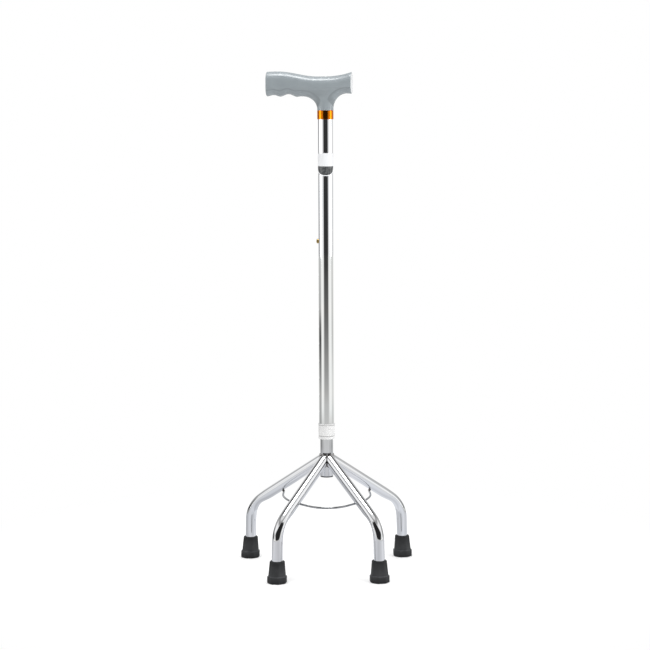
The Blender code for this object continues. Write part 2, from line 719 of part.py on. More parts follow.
def neck_fillet(side, reach, height):
    """From the arm's underside down to the neck, on the nose's side (+1) or the tail's (-1)."""
    across = reach - NECK_RADIUS
    rise = height - NECK_STRAIGHT
    neck_in = NECK_RADIUS - NECK_CORE
    points = []
    for step in range(FILLET_STEPS + 1):
        turn = math.pi / 2 * step / FILLET_STEPS
        point = (side * (reach - across * math.sin(turn)), NECK_STRAIGHT + rise * math.cos(turn))
        points.append((point, (-side * neck_in * math.sin(turn), UNDER_ROUNDING * math.cos(turn))))
    points.append(((side * NECK_RADIUS, 0), (-side * neck_in, 0)))
    return points


def grip_outline():
    """Side view of the grip, once round: each point with the way it moves in as the edge is rounded."""
    length = TAIL_REACH + NOSE_REACH
    tops = [-TAIL_REACH + length * step / TOP_STEPS for step in range(TOP_STEPS + 1)]
    tail = (-TAIL_REACH, TAIL_BOTTOM)
    first_ridge = (-FIRST_RIDGE_REACH, FIRST_RIDGE_HEIGHT)
    second_ridge = (-SECOND_RIDGE_REACH, SECOND_RIDGE_HEIGHT)
    fillet_start = (-REAR_FILLET_REACH, REAR_FILLET_HEIGHT)
    under = finger_groove(fillet_start, second_ridge, SHOULDER_RISE, SHOULDER_STEPS)
    under += finger_groove(second_ridge, first_ridge, SECOND_GROOVE_DEPTH, SECOND_GROOVE_STEPS)
    under += finger_groove(first_ridge, tail, FIRST_GROOVE_DEPTH, FIRST_GROOVE_STEPS)
    outline = [((x, top_height(x)), (0, -TOP_ROUNDING)) for x in tops]
    outline.append(((NOSE_REACH, NOSE_BOTTOM), (0, UNDER_ROUNDING)))
    outline += neck_fillet(1, NOSE_FILLET_REACH, NOSE_FILLET_HEIGHT)
    outline += neck_fillet(-1, REAR_FILLET_REACH, REAR_FILLET_HEIGHT)[::-1]
    outline += [(point, (0, UNDER_ROUNDING)) for point in under]
    return outline


def grip_frame():
    return Matrix.Translation(SHAFT + Vector((0, 0, NECK_BOTTOM))) @ Matrix.Rotation(GRIP_TURN, 4, "Z")


def end_face(bm, x):
    """Makes one face of all those that lie in an end plane of the grip."""
    faces = [face for face in bm.faces if all(abs(vert.co.x - x) < MERGE for vert in face.verts)]
    return bmesh.ops.dissolve_faces(bm, faces=faces)["region"][0]


def grip_body():
    outline = grip_outline()
    bm = bmesh.new()
    verts = [bm.verts.new((point[0], 0, point[1])) for point, _ in outline]
    edges = [bm.edges.new((vert, verts[index - 1])) for index, vert in enumerate(verts)]
    moves = {vert: (vert.co.copy(), Vector((way[0], 0, way[1]))) for vert, (_, way) in zip(verts, outline)}
    for step in range(1, ROUNDING_STEPS + 1):
        turn = math.pi / 2 * step / ROUNDING_STEPS
        following = {}
        grown = bmesh.ops.extrude_edge_only(bm, edges=edges)["geom"]
        fresh = [item for item in grown if isinstance(item, bmesh.types.BMVert)]
        for vert in fresh:
            neighbours = [edge.other_vert(vert) for edge in vert.link_edges]
            base, way = next(moves[other] for other in neighbours if other in moves)
            vert.co = base + way * (1 - math.cos(turn)) + Vector((0, -GRIP_HALF_WIDTH * math.sin(turn), 0))
            following[vert] = (base, way)
        moves = following
        edges = [item for item in grown if isinstance(item, bmesh.types.BMEdge)]
    bmesh.ops.edgeloop_fill(bm, edges=edges)
    for cut in range(1, NECK_TAPER_CUTS + 1):
        level = NECK_TAPER_HEIGHT * cut / (NECK_TAPER_CUTS + 1)
        geometry = bm.verts[:] + bm.edges[:] + bm.faces[:]
        bmesh.ops.bisect_plane(bm, geom=geometry, dist=MERGE, plane_co=(0, 0, level), plane_no=(0, 0, 1))
    neck_share = NECK_RADIUS / GRIP_HALF_WIDTH
    for vert in bm.verts:
        vert.co.y *= neck_share + (1 - neck_share) * blend(vert.co.z / NECK_TAPER_HEIGHT)
    bmesh.ops.mirror(bm, geom=bm.verts[:] + bm.edges[:] + bm.faces[:], axis="Y", merge_dist=MERGE)
    bmesh.ops.recalc_face_normals(bm, faces=bm.faces[:])
    tail = end_face(bm, -TAIL_REACH)
    nose = end_face(bm, NOSE_REACH)
    for face, edge in ((tail, TAIL_EDGE), (nose, NOSE_EDGE)):
        round_edges(bm, face, edge)
    return bm


def round_edges(bm, face, edge):
    bmesh.ops.bevel(bm, geom=face.edges[:], offset=edge, segments=EDGE_STEPS, profile=0.5, affect="EDGES")


def nose_outline(inset):
    """The grip's nose seen from its end, drawn in by an inset."""
    half = GRIP_HALF_WIDTH - inset
    upper_middle = NOSE_TOP - TOP_ROUNDING
    lower_middle = NOSE_BOTTOM + UNDER_ROUNDING
    upper = arc((0, 0), 1, 0, math.pi, CAP_STEPS)
    lower = arc((0, 0), 1, math.pi, math.tau, CAP_STEPS)
    points = [(NOSE_REACH, half * y, upper_middle + (TOP_ROUNDING - inset) * z) for y, z in upper]
    points += [(NOSE_REACH, half * y, lower_middle + (UNDER_ROUNDING - inset) * z) for y, z in lower]
    return points


def make_grip():
    grip = add_object("handle_grip", place(grip_body(), grip_frame()), GREY_PLASTIC)
    tenon_radius = UPPER_BORE_RADIUS - SEAT_GAP
    tenon = [
        (0, -TENON_LENGTH),
        (tenon_radius - TENON_EDGE, -TENON_LENGTH),
        (tenon_radius, TENON_EDGE - TENON_LENGTH),
        (tenon_radius, NECK_STRAIGHT),
        (0, NECK_STRAIGHT),
    ]
    add_boolean(grip, add_object("tenon", place(turned(tenon, TUBE_SIDES), grip_frame())), "UNION")
    middle = (NOSE_TOP - TOP_ROUNDING + NOSE_BOTTOM + UNDER_ROUNDING) / 2
    along = Vector((1, 0, 0))
    recess = prism(nose_outline(CAP_RIM), along, -CAP_THICKNESS, CUT_OVERRUN)
    add_boolean(grip, add_object("cap_recess_cutter", place(recess, grip_frame())), "DIFFERENCE")
    deep = Vector((NOSE_REACH - CAP_THICKNESS - CAP_SPIGOT_LENGTH, 0, middle))
    bore = rod(deep, Vector((NOSE_REACH, 0, middle)), CAP_SPIGOT_RADIUS + SEAT_GAP, SMALL_SIDES)
    add_boolean(grip, add_object("cap_bore_cutter", place(bore, grip_frame())), "DIFFERENCE")
    plate = prism(nose_outline(CAP_RIM + SEAT_GAP), along, SEAT_GAP - CAP_THICKNESS, CAP_STAND_OUT)
    front = max(plate.faces, key=lambda face: face.calc_center_median().x)
    round_edges(plate, front, CAP_EDGE)
    cap = add_object("handle_end_cap", place(plate, grip_frame()), PALE_PLASTIC)
    start = Vector((deep.x + SEAT_GAP, 0, middle))
    spigot = rod(start, Vector((NOSE_REACH - CAP_THICKNESS / 2, 0, middle)), CAP_SPIGOT_RADIUS, SMALL_SIDES)
    add_boolean(cap, add_object("cap_spigot", place(spigot, grip_frame())), "UNION")


clear_scene()
make_lower_tube()
make_button()
make_button_spring()
make_tube_plug()
make_legs()
make_brace_wire()
make_tips()
make_upper_tube()
make_collar()
make_ring()
make_grip()
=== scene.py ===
# Quad cane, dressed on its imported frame. Sizes are in millimetres and go through mm().
# The shaft stands upright, the front pair of legs looks to -Y, holes and button look to -X.
import json
from math import atan2, cos, exp, hypot, log1p, pi, radians, sin, sqrt, tan, tau

import bmesh
import bpy
from mathutils import Matrix, Vector, noise

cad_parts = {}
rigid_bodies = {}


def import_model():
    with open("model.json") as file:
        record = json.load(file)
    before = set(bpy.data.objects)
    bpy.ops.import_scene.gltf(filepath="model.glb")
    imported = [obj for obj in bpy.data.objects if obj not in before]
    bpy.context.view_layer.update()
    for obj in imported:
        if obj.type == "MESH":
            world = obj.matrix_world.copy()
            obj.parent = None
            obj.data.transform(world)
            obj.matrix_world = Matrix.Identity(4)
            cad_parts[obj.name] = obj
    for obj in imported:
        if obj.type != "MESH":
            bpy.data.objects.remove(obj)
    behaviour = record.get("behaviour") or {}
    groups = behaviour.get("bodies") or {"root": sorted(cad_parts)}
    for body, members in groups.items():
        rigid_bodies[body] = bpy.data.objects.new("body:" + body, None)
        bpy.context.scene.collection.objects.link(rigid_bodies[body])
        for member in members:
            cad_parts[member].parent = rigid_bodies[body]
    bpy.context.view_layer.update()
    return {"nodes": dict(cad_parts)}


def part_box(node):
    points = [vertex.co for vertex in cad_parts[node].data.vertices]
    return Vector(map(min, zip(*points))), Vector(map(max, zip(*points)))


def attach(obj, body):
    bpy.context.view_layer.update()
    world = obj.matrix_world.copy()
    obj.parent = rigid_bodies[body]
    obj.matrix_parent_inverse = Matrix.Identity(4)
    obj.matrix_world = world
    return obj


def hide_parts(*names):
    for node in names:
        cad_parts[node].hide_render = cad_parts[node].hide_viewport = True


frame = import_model()
print("frame loaded")


def mm(value):
    return value / 1000


def between(first, last, share):
    return first + (last - first) * share


def boxOf(node):
    low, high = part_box(node)
    return low * 1000, high * 1000


def addObject(name, operator, **settings):
    # runs one of the operators that add something, with all else deselected
    bpy.ops.object.select_all(action="DESELECT")
    operator(**settings)
    bpy.context.object.name = name
    return bpy.context.object


upperLow, upperHigh = boxOf("upper_tube")
shaftY = (upperLow.y + upperHigh.y) / 2
atShaft = Matrix.Translation((0, mm(shaftY), 0))


# Tools for nodes. A value is a number, a colour, a node or an output of one; None leaves a socket as it is.

def feed(socket, value):
    if isinstance(value, bpy.types.Node):
        value = value.outputs[0]
    if isinstance(value, (int, float)):
        socket.default_value = value
    elif isinstance(value, tuple):
        socket.default_value = (*value, 1)[:len(socket.default_value)]
    elif value is not None:
        socket.id_data.links.new(value, socket)


def adjust(thing, settings):
    for setting, value in settings.items():
        setattr(thing, setting, value)


def addNode(tree, kind, *values, **settings):
    node = tree.nodes.new("ShaderNode" + kind)
    adjust(node, settings)
    for socket, value in zip(node.inputs, values):
        feed(socket, value)
    return node


def treeOf(values):
    return next(value.id_data for value in values if isinstance(value, bpy.types.NodeSocket))


def addMath(operation, *values):
    return addNode(treeOf(values), "Math", *values, operation=operation).outputs[0]


def multiply(first, second):
    return addMath("MULTIPLY", first, second)


def addMix(factor, first, second, blend="MIX"):
    values = (factor, first, second)
    step = addNode(treeOf(values), "Mix", data_type="RGBA", blend_type=blend)
    for index, value in zip((0, 6, 7), values):
        feed(step.inputs[index], value)
    return step.outputs[2]


def addTint(colour, shade):
    return addMix(1, colour, shade, "MULTIPLY")


def addSplit(vector):
    return addNode(vector.id_data, "SeparateXYZ", vector).outputs


def addRamp(factor, stops, easing="LINEAR"):
    # stops are levels or colours by their place, from 0 to 1
    ramp = addNode(factor.id_data, "ValToRGB", factor)
    elements = ramp.color_ramp.elements
    ramp.color_ramp.interpolation = easing
    while len(elements) < len(stops):
        elements.new(0.5)
    for element, (place, level) in zip(elements, sorted(stops.items())):
        element.position = place
        element.color = (*(level if isinstance(level, tuple) else (level,) * 3), 1)
    return ramp.outputs["Color"]


def addLevels(factor, levels):
    # a ramp whose levels may pass 1
    top = max(levels.values())
    return addTint(addRamp(factor, {place: level / top for place, level in levels.items()}), (top,) * 3)


# Camera, room, floor and lamps

camera = {
    "place": (-0.04934, -3.15913, 0.7624), "turn": (82.829, 0.24, -0.887),
    "optics": {"lens": 120.49, "sensor_width": 36, "clip_end": 100},
}

studio = {
    "view": 0.2524,  # middle of the dark room behind the camera, as a share of a turn from -X
    "daylight": 0.62,
    "horizon": -0.012,  # where the screens start over the walls
    "roomTop": 0.8, "roomTone": 0.02, "floorRadius": 5, "floorWhite": 0.82, "floorLift": 0.22,
    "paperFull": 0.22,  # metres from the shaft to where the paper starts to fade out
    "paperGone": 0.6,
}


def addGlow(piece, name):
    # the piece glows only in the metal, so it is not sampled as a lamp
    finish = bpy.data.materials.new(name)
    finish.use_nodes = True
    finish.node_tree.nodes.clear()
    finish.cycles.emission_sampling = "NONE"
    piece.data.materials.append(finish)
    return finish.node_tree


def addBearing(direction):
    # bearing from the camera, from 0 to 0.5 of a turn, alike on both sides, and whether it is the left side
    angle = addNode(direction.id_data, "TexGradient", direction, gradient_type="RADIAL").outputs["Fac"]
    turned = addMath("ABSOLUTE", addMath("SUBTRACT", angle, studio["view"]))
    return addMath("PINGPONG", turned, 0.5), addMath("LESS_THAN", addSplit(direction)["X"], 0)


cameraTurn = [radians(turn) for turn in camera["turn"]]
photoCamera = addObject("photoCamera", bpy.ops.object.camera_add, location=camera["place"], rotation=cameraTurn)
adjust(photoCamera.data, camera["optics"])
bpy.context.scene.camera = photoCamera

world = bpy.data.worlds.new("studioRoom")
bpy.context.scene.world = world
world.use_nodes = True
tree = world.node_tree
direction = addNode(tree, "TexCoord").outputs["Generated"]
away, left = addBearing(direction)
up = addSplit(direction)["Z"]
# round the cane at its own height: dark room, white panels, upright soft boxes, gaps and backdrop
walls = addLevels(away, {
    0: 0.035, 0.088: 0.035, 0.096: 0.62, 0.125: 0.85, 0.15: 1, 0.191: 1, 0.199: 4.5, 0.254: 4.5,
    0.264: 0.8, 0.295: 0.7, 0.33: 0.38, 0.395: 0.38, 0.41: 0.96,
})
walls = addMix(left, addMix(addRamp(away, {0.264: 0, 0.272: 1}), walls, (0.76,) * 3), walls)
# above them: lit side screens over a dark slot, a dark wedge of the room, then the ceiling
screens = addLevels(away, {
    0.12: 0.75, 0.17: 0.72, 0.2: 1, 0.245: 1.12, 0.275: 0.85, 0.3: 0.6, 0.35: 0.45, 0.38: 0.62,
    0.46: 0.95, 0.5: 0.95,
})
slotLow = addRamp(away, {0.2: 0, 0.235: 1, 0.375: 1, 0.4: 0})
slotHigh = addRamp(away, {0.262: 0, 0.295: 1, 0.375: 1, 0.4: 0})
slotLeft = addMix(addRamp(up, {0.2: 0, 0.36: 1}), slotLow, slotHigh)
slotRight = addRamp(away, {0.235: 0, 0.262: 1, 0.345: 0.9, 0.4: 0.9, 0.45: 0.2, 0.47: 0})
slot = multiply(addMix(left, slotRight, slotLeft), addRamp(up, {0.38: 1, 0.47: 0}))
underLeft = addRamp(up, {0: 0.05, 0.08: 0.09, 0.17: 0.25, 0.3: 0.3, 0.45: 0.28})
underRight = addRamp(up, {0: 0.22, 0.09: 0.27, 0.17: 0.36, 0.3: 0.44, 0.45: 0.55})
screens = addMix(slot, screens, addMix(left, underRight, underLeft))
frontCeiling = {0.45: 0.95, 0.62: 1, 0.72: 0.8, 0.79: 0.3, 0.85: 0.34, 0.92: 0.85, 1: 0.6}
backCeiling = {0.45: 0.4, 0.62: 0.28, 0.78: 0.16, 0.9: 0.07, 1: 0.07}
ceiling = addMix(addRamp(away, {0.264: 0, 0.32: 1}), addRamp(up, frontCeiling), addRamp(up, backCeiling))
aboveWalls = addMath("GREATER_THAN", up, studio["horizon"])
mirrored = addMix(aboveWalls, walls, screens)
mirrored = addMix(addRamp(up, {0.42: 0, 0.58: 1}), mirrored, ceiling)
roomSide = addRamp(up, {
    0: 0.118, 0.14: 0.135, 0.28: 0.168, 0.4: 0.16, 0.48: 0.142, 0.56: 0.125, 0.64: 0.105, 0.71: 0.08,
    0.77: 0.04, 0.8: 0,
})
inRoom = addMath("MULTIPLY_ADD", addMath("SUBTRACT", roomSide, away), 40, 0.5)
inRoom = multiply(addRamp(inRoom, {0: 0, 1: 1}), aboveWalls)
inRoom = multiply(inRoom, addMath("LESS_THAN", up, studio["roomTop"]))
mirrored = addMix(inRoom, mirrored, (studio["roomTone"],) * 3)
rays = addNode(tree, "LightPath").outputs
seen = addMath("MAXIMUM", rays["Is Camera Ray"], rays["Is Transmission Ray"])
# only metal and gloss seen straight on mirror the room, so that no glints fall on dull surfaces
gloss = multiply(rays["Is Glossy Ray"], addMath("LESS_THAN", rays["Diffuse Depth"], 0.5))
shown = addMix(gloss, (studio["daylight"],) * 3, mirrored)
feed(tree.nodes["Background"].inputs["Color"], addMix(seen, shown, (1, 1, 1)))

# a soft box hung over the cane, which shows only in the gloss and trails off to the back
overhead = {
    "middle": (0.01, 0.31, 1.8), "size": (1.1, 1.38), "level": 11, "trail": 0.1,
    "across": {0: 0, 0.07: 0.08, 0.15: 0.4, 0.25: 1, 0.8: 1, 0.9: 0.25, 0.95: 0.08, 1: 0},
    "along": {0: 0, 0.025: 0.1, 0.06: 1, 0.3: 1, 0.35: 0.5, 0.41: 0.12, 0.94: 0.09, 1: 0},
}
topBox = addObject("overheadBox", bpy.ops.mesh.primitive_plane_add, size=1, location=overhead["middle"])
topBox.dimensions = (*overhead["size"], 0)
bpy.ops.object.transform_apply(location=False, rotation=False, scale=True)
adjust(topBox, {"visible_" + kind: False for kind in ("camera", "diffuse", "shadow", "transmission")})
tree = addGlow(topBox, "overheadGlow")
place = addSplit(addNode(tree, "TexCoord").outputs["Object"])
across = addMath("MULTIPLY_ADD", place["X"], 1 / overhead["size"][0], 0.5)
along = addMath("MULTIPLY_ADD", place["Y"], 1 / overhead["size"][1], 0.5)
inside = multiply(addRamp(across, overhead["across"]), addRamp(along, overhead["along"]))
straight = addMath("LESS_THAN", addNode(tree, "LightPath").outputs["Diffuse Depth"], 0.5)
power = multiply(addMath("MULTIPLY_ADD", inside, overhead["level"], overhead["trail"]), straight)
clear = addNode(tree, "BsdfTransparent")
light = addNode(tree, "Emission", None, power)
addNode(tree, "OutputMaterial", addNode(tree, "MixShader", addRamp(inside, {0: 0, 0.03: 1}), clear, light))

floorSize = {"vertices": 96, "radius": studio["floorRadius"], "fill_type": "NGON"}
floor = addObject("studioFloor", bpy.ops.mesh.primitive_circle_add, location=(0, mm(shaftY), 0), **floorSize)
tree = addGlow(floor, "whitePaper")
place = addNode(tree, "TexCoord").outputs["Object"]
away, left = addBearing(place)
reach = addNode(tree, "VectorMath", place, operation="LENGTH").outputs["Value"]
edge = studio["floorRadius"]
share = multiply(reach, 1 / edge)


def addReach(levels):
    # levels by distance from the shaft, in metres
    return addLevels(share, {metres / edge: level for metres, level in levels.items()})


near = {0: 0.68, 0.6: 0.67, 0.8: 0.62}
toCamera = addReach({
    **near, 1: 0.62, 1.5: 0.56, 1.7: 0.44, 2: 0.34, 2.4: 0.25, 2.8: 0.18, 3.2: 0.13, 4.6: 0.05,
})
byCamera = addReach({**near, 1.4: 0.74, 5: 0.76})
toSides = addReach({**near, 1: 0.52, 1.15: 0.62, 1.45: 1, 5: 1})
toSides = addMix(addRamp(away, {0.105: 1, 0.14: 0}), toSides, byCamera)
toGaps = addReach({
    **near, 1: 0.36, 1.2: 0.62, 1.6: 0.76, 1.9: 0.76, 2.3: 0.64, 2.7: 0.58, 3.3: 0.61, 5: 0.68,
})
toBackdrop = addReach({0: 0.74, 0.6: 0.7, 1: 0.62, 1.5: 0.85, 5: 0.92})
mirrored = addMix(addRamp(away, {0.235: 0, 0.262: 1}), toSides, toGaps)
beyond = addRamp(addMath("MULTIPLY_ADD", left, -0.045, away), {0.345: 0, 0.375: 1})
mirrored = addMix(beyond, mirrored, toBackdrop)
# on the left a dark floor lies under the soft box
shade = addReach({
    0: 1, 0.9: 0.9, 1.1: 0.55, 1.35: 0.62, 1.65: 0.52, 1.9: 0.36, 2.3: 0.18, 2.6: 0.08, 2.9: 0.24,
    3.3: 0.72, 5: 0.84,
})
inShade = addRamp(away, {0.2: 0, 0.228: 0.6, 0.262: 1, 0.29: 1, 0.34: 0.82, 0.395: 0.6, 0.42: 0})
mirrored = addTint(mirrored, addMix(multiply(inShade, left), (1, 1, 1), shade))
mirrored = addMix(addRamp(away, {0.08: 0, 0.102: 1}), toCamera, mirrored)
leftSector = {0: 0.84, 0.06: 0.94, 0.12: 1, 0.17: 1.1, 0.21: 1, 0.27: 0.78, 0.34: 0.84, 0.42: 0.88}
rightSector = {0: 0.84, 0.06: 0.92, 0.12: 1.04, 0.17: 1.22, 0.22: 1.08, 0.28: 0.98, 0.34: 1.1, 0.42: 1.1}
sector = addMix(left, addLevels(away, rightSector), addLevels(away, leftSector))
mirrored = addMix(addRamp(share, {0: 1, 0.1: 1, 0.18: 0}), mirrored, addTint(mirrored, sector))
cast = addRamp(share, {0: (0.965, 0.98, 1.03), 0.16: (0.975, 0.985, 1.02), 0.24: (1, 1, 0.97)})
inMetal = addNode(tree, "Emission", addTint(mirrored, cast))
rays = addNode(tree, "LightPath").outputs
lift = addNode(tree, "Emission", None, multiply(rays["Is Camera Ray"], studio["floorLift"]))
lit = addNode(tree, "AddShader", addNode(tree, "BsdfDiffuse", (studio["floorWhite"],) * 3), lift)
choice = addNode(tree, "MixShader", rays["Is Glossy Ray"], lit, inMetal)
# away from the cane the paper runs out into plain white
fade = {studio["paperFull"] / edge: 0, studio["paperGone"] / edge: 1}
far = multiply(addRamp(share, fade, "EASE"), rays["Is Camera Ray"])
addNode(tree, "OutputMaterial", addNode(tree, "MixShader", far, choice, addNode(tree, "Emission")))

# each lamp's place, size and power
lamps = {
    "keyLamp": ((-1.3, -1.6, 2.2), 1.4, 22),
    "fillLamp": ((1.7, -1.2, 1.4), 1.4, 13),
    "backLamp": ((0.2, 1.9, 1.9), 1.2, 12),
    "topLamp": ((0, 0.15, 2.4), 1.2, 15),
    "lowLamp": ((1.5, -0.5, 0.22), 0.8, 6),
}
lampAim = Vector((0, mm(shaftY), 0.35))
for name, (place, size, power) in lamps.items():
    light = addObject(name, bpy.ops.object.light_add, type="AREA", location=place)
    adjust(light.data, {"shape": "DISK", "size": size, "energy": power})
    light.visible_glossy = False
    light.rotation_euler = (lampAim - light.location).to_track_quat("-Z", "Y").to_euler()
bpy.context.scene.view_settings.view_transform = "Standard"
print("studio ready")


# Finishes. Every pattern reads Object coordinates, in metres. Tone and gloss each follow a noise, given by
# its scale, detail and stretch, through a ramp; the bump has its noise, its strength and its depth.

def addNoise(place, scale, detail=3, stretch=(1, 1, 1)):
    mapping = addNode(place.id_data, "Mapping", place, None, None, stretch)
    return addNode(place.id_data, "TexNoise", mapping, None, scale, detail).outputs["Fac"]


def addBump(shader, height, strength, depth):
    before = shader["Normal"].links
    before = before[0].from_socket if before else None
    feed(shader["Normal"], addNode(height.id_data, "Bump", strength, mm(depth), None, height, before))


def makeFinish(name, colour, roughness, metallic, tone, gloss, bump, sockets=None, more=None):
    finish = bpy.data.materials.new(name)
    finish.use_nodes = True
    shader = finish.node_tree.nodes["Principled BSDF"].inputs
    plain = {"Base Color": colour, "Roughness": roughness, "Metallic": metallic}
    for socket, value in {**plain, **(sockets or {})}.items():
        feed(shader[socket], value)
    place = addNode(finish.node_tree, "TexCoord").outputs["Object"]
    feed(shader["Base Color"], addRamp(addNoise(place, *tone[0]), tone[1]))
    feed(shader["Roughness"], addRamp(addNoise(place, *gloss[0]), gloss[1]))
    addBump(shader, addNoise(place, *bump[0]), *bump[1:])
    if more:
        more(shader, place)
    return finish


def baseOf(shader):
    return shader["Base Color"].links[0].from_socket


def darken(shader, shade):
    feed(shader["Base Color"], addTint(baseOf(shader), shade))


def weldFinish(name, hollow):
    # plate over a welded bead: duller, with burnt hollows
    tint = {hollow: (0.035, 0.026, 0.02), hollow + 0.12: (0.38, 0.35, 0.33), 0.72: (0.66, 0.66, 0.67)}
    return makeFinish(
        name, (0.72, 0.72, 0.73), 0.3, 1,
        tone=((260,), tint),
        gloss=((260,), {0.3: 0.46, 0.7: 0.24}),
        bump=((900, 4), 0.3, 0.2),
    )


def steelFinish(name, colour, roughness):
    # rolled steel strip or a zinc-plated washer: brushed one way, with dull spots
    brushed = (900, 3, (1, 0.08, 1))
    return makeFinish(
        name, colour, roughness, 1,
        tone=((260, 5), {0.3: tuple(value * 0.72 for value in colour), 0.6: colour}),
        gloss=(brushed, {0.3: roughness * 0.8, 0.7: roughness * 1.3}),
        bump=(brushed, 0.15, 0.03),
    )


def paleFinish(name, colour, shadedGrooves=()):
    # pale satin moulding with a cloudy tone, and painted shade darkening its grooves
    def addGrooveShade(shader, place):
        for height in shadedGrooves:
            off = addMath("ABSOLUTE", addMath("MULTIPLY_ADD", addSplit(place)["Z"], 1000, -height))
            darken(shader, addRamp(off, {0.15: 0.35, 0.55: 1}, "EASE"))

    return makeFinish(
        name, colour, 0.3, 0,
        tone=((90, 4), {0.3: tuple(value * 0.94 for value in colour), 0.7: colour}),
        gloss=((110, 2), {0.3: 0.32, 0.7: 0.4}),
        bump=((300, 1), 0.01, 0.03),
        sockets={"Specular IOR Level": 0.12},
        more=addGrooveShade,
    )


def addTipShadeAndHighlight(shader, place):
    # painted shade by height: darker towards the sole and the mouth, with a painted highlight along the ledge
    # where it catches light
    height = multiply(addSplit(place)["Z"], 25)  # the ramp spans 40 mm
    darken(shader, addRamp(height, {
        0: 0.2, 0.04: 0.2, 0.08: 0.42, 0.15: 0.76, 0.225: 1.08, 0.245: 1.15, 0.25: 2.3, 0.27: 2.3,
        0.275: 1.3, 0.35: 1.25, 0.5: 1.08, 0.65: 0.78, 0.75: 0.5, 0.8: 0.6,
    }))


# bright plate: faint haze in the gloss and a little waviness
chrome = makeFinish(
    "chromePlate", (0.86, 0.87, 0.88), 0.07, 1,
    tone=((22,), {0.3: (0.84, 0.86, 0.88), 0.7: (0.89, 0.89, 0.9)}),
    gloss=((55, 5), {0.35: 0.02, 0.62: 0.034, 0.8: 0.06}),
    bump=((45, 1), 0.02, 0.06),
)
# thin plate on drawn wire, with a painted reflection: greyer than the tubes, standing in for the dark room that
# the thin wire mirrors, with fine drawing lines
platedWire = makeFinish(
    "platedWire", (0.4, 0.41, 0.42), 0.2, 1,
    tone=((160, 4), {0.3: (0.3, 0.31, 0.32), 0.7: (0.46, 0.47, 0.48)}),
    gloss=((160, 4), {0.3: 0.14, 0.7: 0.26}),
    bump=((900, 2, (0.05, 1, 1)), 0.05, 0.02),
)
# anodised aluminium with fine turning lines round it
turning = (700, 3, (0.04, 0.04, 4))
orange = makeFinish(
    "orangeAnodised", (0.7, 0.185, 0.005), 0.13, 1,
    tone=(turning, {0.3: (0.67, 0.172, 0.004), 0.7: (0.74, 0.2, 0.006)}),
    gloss=(turning, {0.3: 0.09, 0.7: 0.15}),
    bump=(turning, 0.06, 0.03),
)
# turned brass, darker where it has tarnished
brass = makeFinish(
    "turnedBrass", (0.62, 0.45, 0.16), 0.25, 1,
    tone=((500, 5), {0.35: (0.3, 0.19, 0.07), 0.55: (0.6, 0.43, 0.16), 0.8: (0.78, 0.6, 0.27)}),
    gloss=((500, 5), {0.3: 0.42, 0.7: 0.18}),
    bump=((2200, 2, (8, 1, 1)), 0.15, 0.03),
)
# moulded rubber with a fine grain, and painted shade and highlight by height
rubber = makeFinish(
    "blackRubber", (0.04, 0.041, 0.043), 0.62, 0,
    tone=((120, 6), {0.3: (0.017, 0.018, 0.0195), 0.7: (0.03, 0.031, 0.033)}),
    gloss=((120, 6), {0.3: 0.55, 0.7: 0.72}),
    bump=((1500, 4), 0.25, 0.08),
    sockets={"IOR": 1.52},
    more=addTipShadeAndHighlight,
)
# plain black plastic, a little worn
blackPlug = makeFinish(
    "blackPlug", (0.02, 0.02, 0.021), 0.42, 0,
    tone=((300, 4), {0.3: (0.014, 0.014, 0.015), 0.75: (0.036, 0.036, 0.037)}),
    gloss=((300, 4), {0.3: 0.34, 0.7: 0.52}),
    bump=((1600,), 0.2, 0.05),
)
weld = weldFinish("platedWeld", 0.4)
# a darker copy of the weld: heat tint, plus painted shade for the valley between the front legs and for the
# wire's drops
burntWeld = weldFinish("burntWeld", 0.54)
capPlastic = paleFinish("paleCap", (0.8, 0.81, 0.82))
springSteel = steelFinish("springSteel", (0.5, 0.51, 0.53), 0.3)
zinc = steelFinish("zincWasher", (0.56, 0.56, 0.57), 0.36)
print("finishes ready")


# Tools for shaping

double = mm(0.002)  # points this near each other are one
hair = mm(0.0005)  # and this near a cutting plane they lie on it


def selectOnly(piece):
    bpy.ops.object.select_all(action="DESELECT")
    piece.select_set(True)
    bpy.context.view_layer.objects.active = piece


def selectAll():
    bpy.ops.mesh.select_all(action="SELECT")


def startEdit():
    bpy.ops.object.mode_set(mode="EDIT")
    selectAll()


def endEdit():
    bpy.ops.object.mode_set(mode="OBJECT")


def closeShape():
    # merges doubles, turns the faces outwards and leaves edit mode
    selectAll()
    bpy.ops.mesh.remove_doubles(threshold=double)
    bpy.ops.mesh.normals_make_consistent(inside=False)
    endEdit()


def drawOut(x=0, y=0, z=0):
    bpy.ops.mesh.extrude_region_move(TRANSFORM_OT_translate={"value": (mm(x), mm(y), mm(z))})


def pickFaces(piece, axis, level, slack=0.01):
    # selects the faces that lie flat at a level of one axis, in edit mode
    bpy.ops.mesh.select_mode(type="FACE")
    bpy.ops.mesh.select_all(action="DESELECT")
    shape = bmesh.from_edit_mesh(piece.data)
    along = "xyz".index(axis)
    for face in shape.faces:
        if all(abs(vertex.co[along] - mm(level)) < mm(slack) for vertex in face.verts):
            face.select_set(True)
    shape.select_flush_mode()
    bmesh.update_edit_mesh(piece.data)


def drawLine(name, points):
    # a single vertex, a plane merged to its middle, is drawn on from point to point in the XZ plane
    piece = addObject(name, bpy.ops.mesh.primitive_plane_add, size=mm(1))
    startEdit()
    bpy.ops.mesh.select_mode(type="VERT")
    bpy.ops.mesh.merge(type="CENTER")
    bpy.ops.transform.translate(value=(mm(points[0][0]), 0, mm(points[0][1])))
    for last, point in zip(points, points[1:]):
        drawOut(point[0] - last[0], 0, point[1] - last[1])
    return piece


def turnProfile(name, profile, steps=96):
    # a profile of (radius, height) spun round Z
    piece = drawLine(name, profile)
    selectAll()
    bpy.ops.mesh.spin(steps=steps, angle=tau, center=(0, 0, 0), axis=(0, 0, 1))
    closeShape()
    return piece


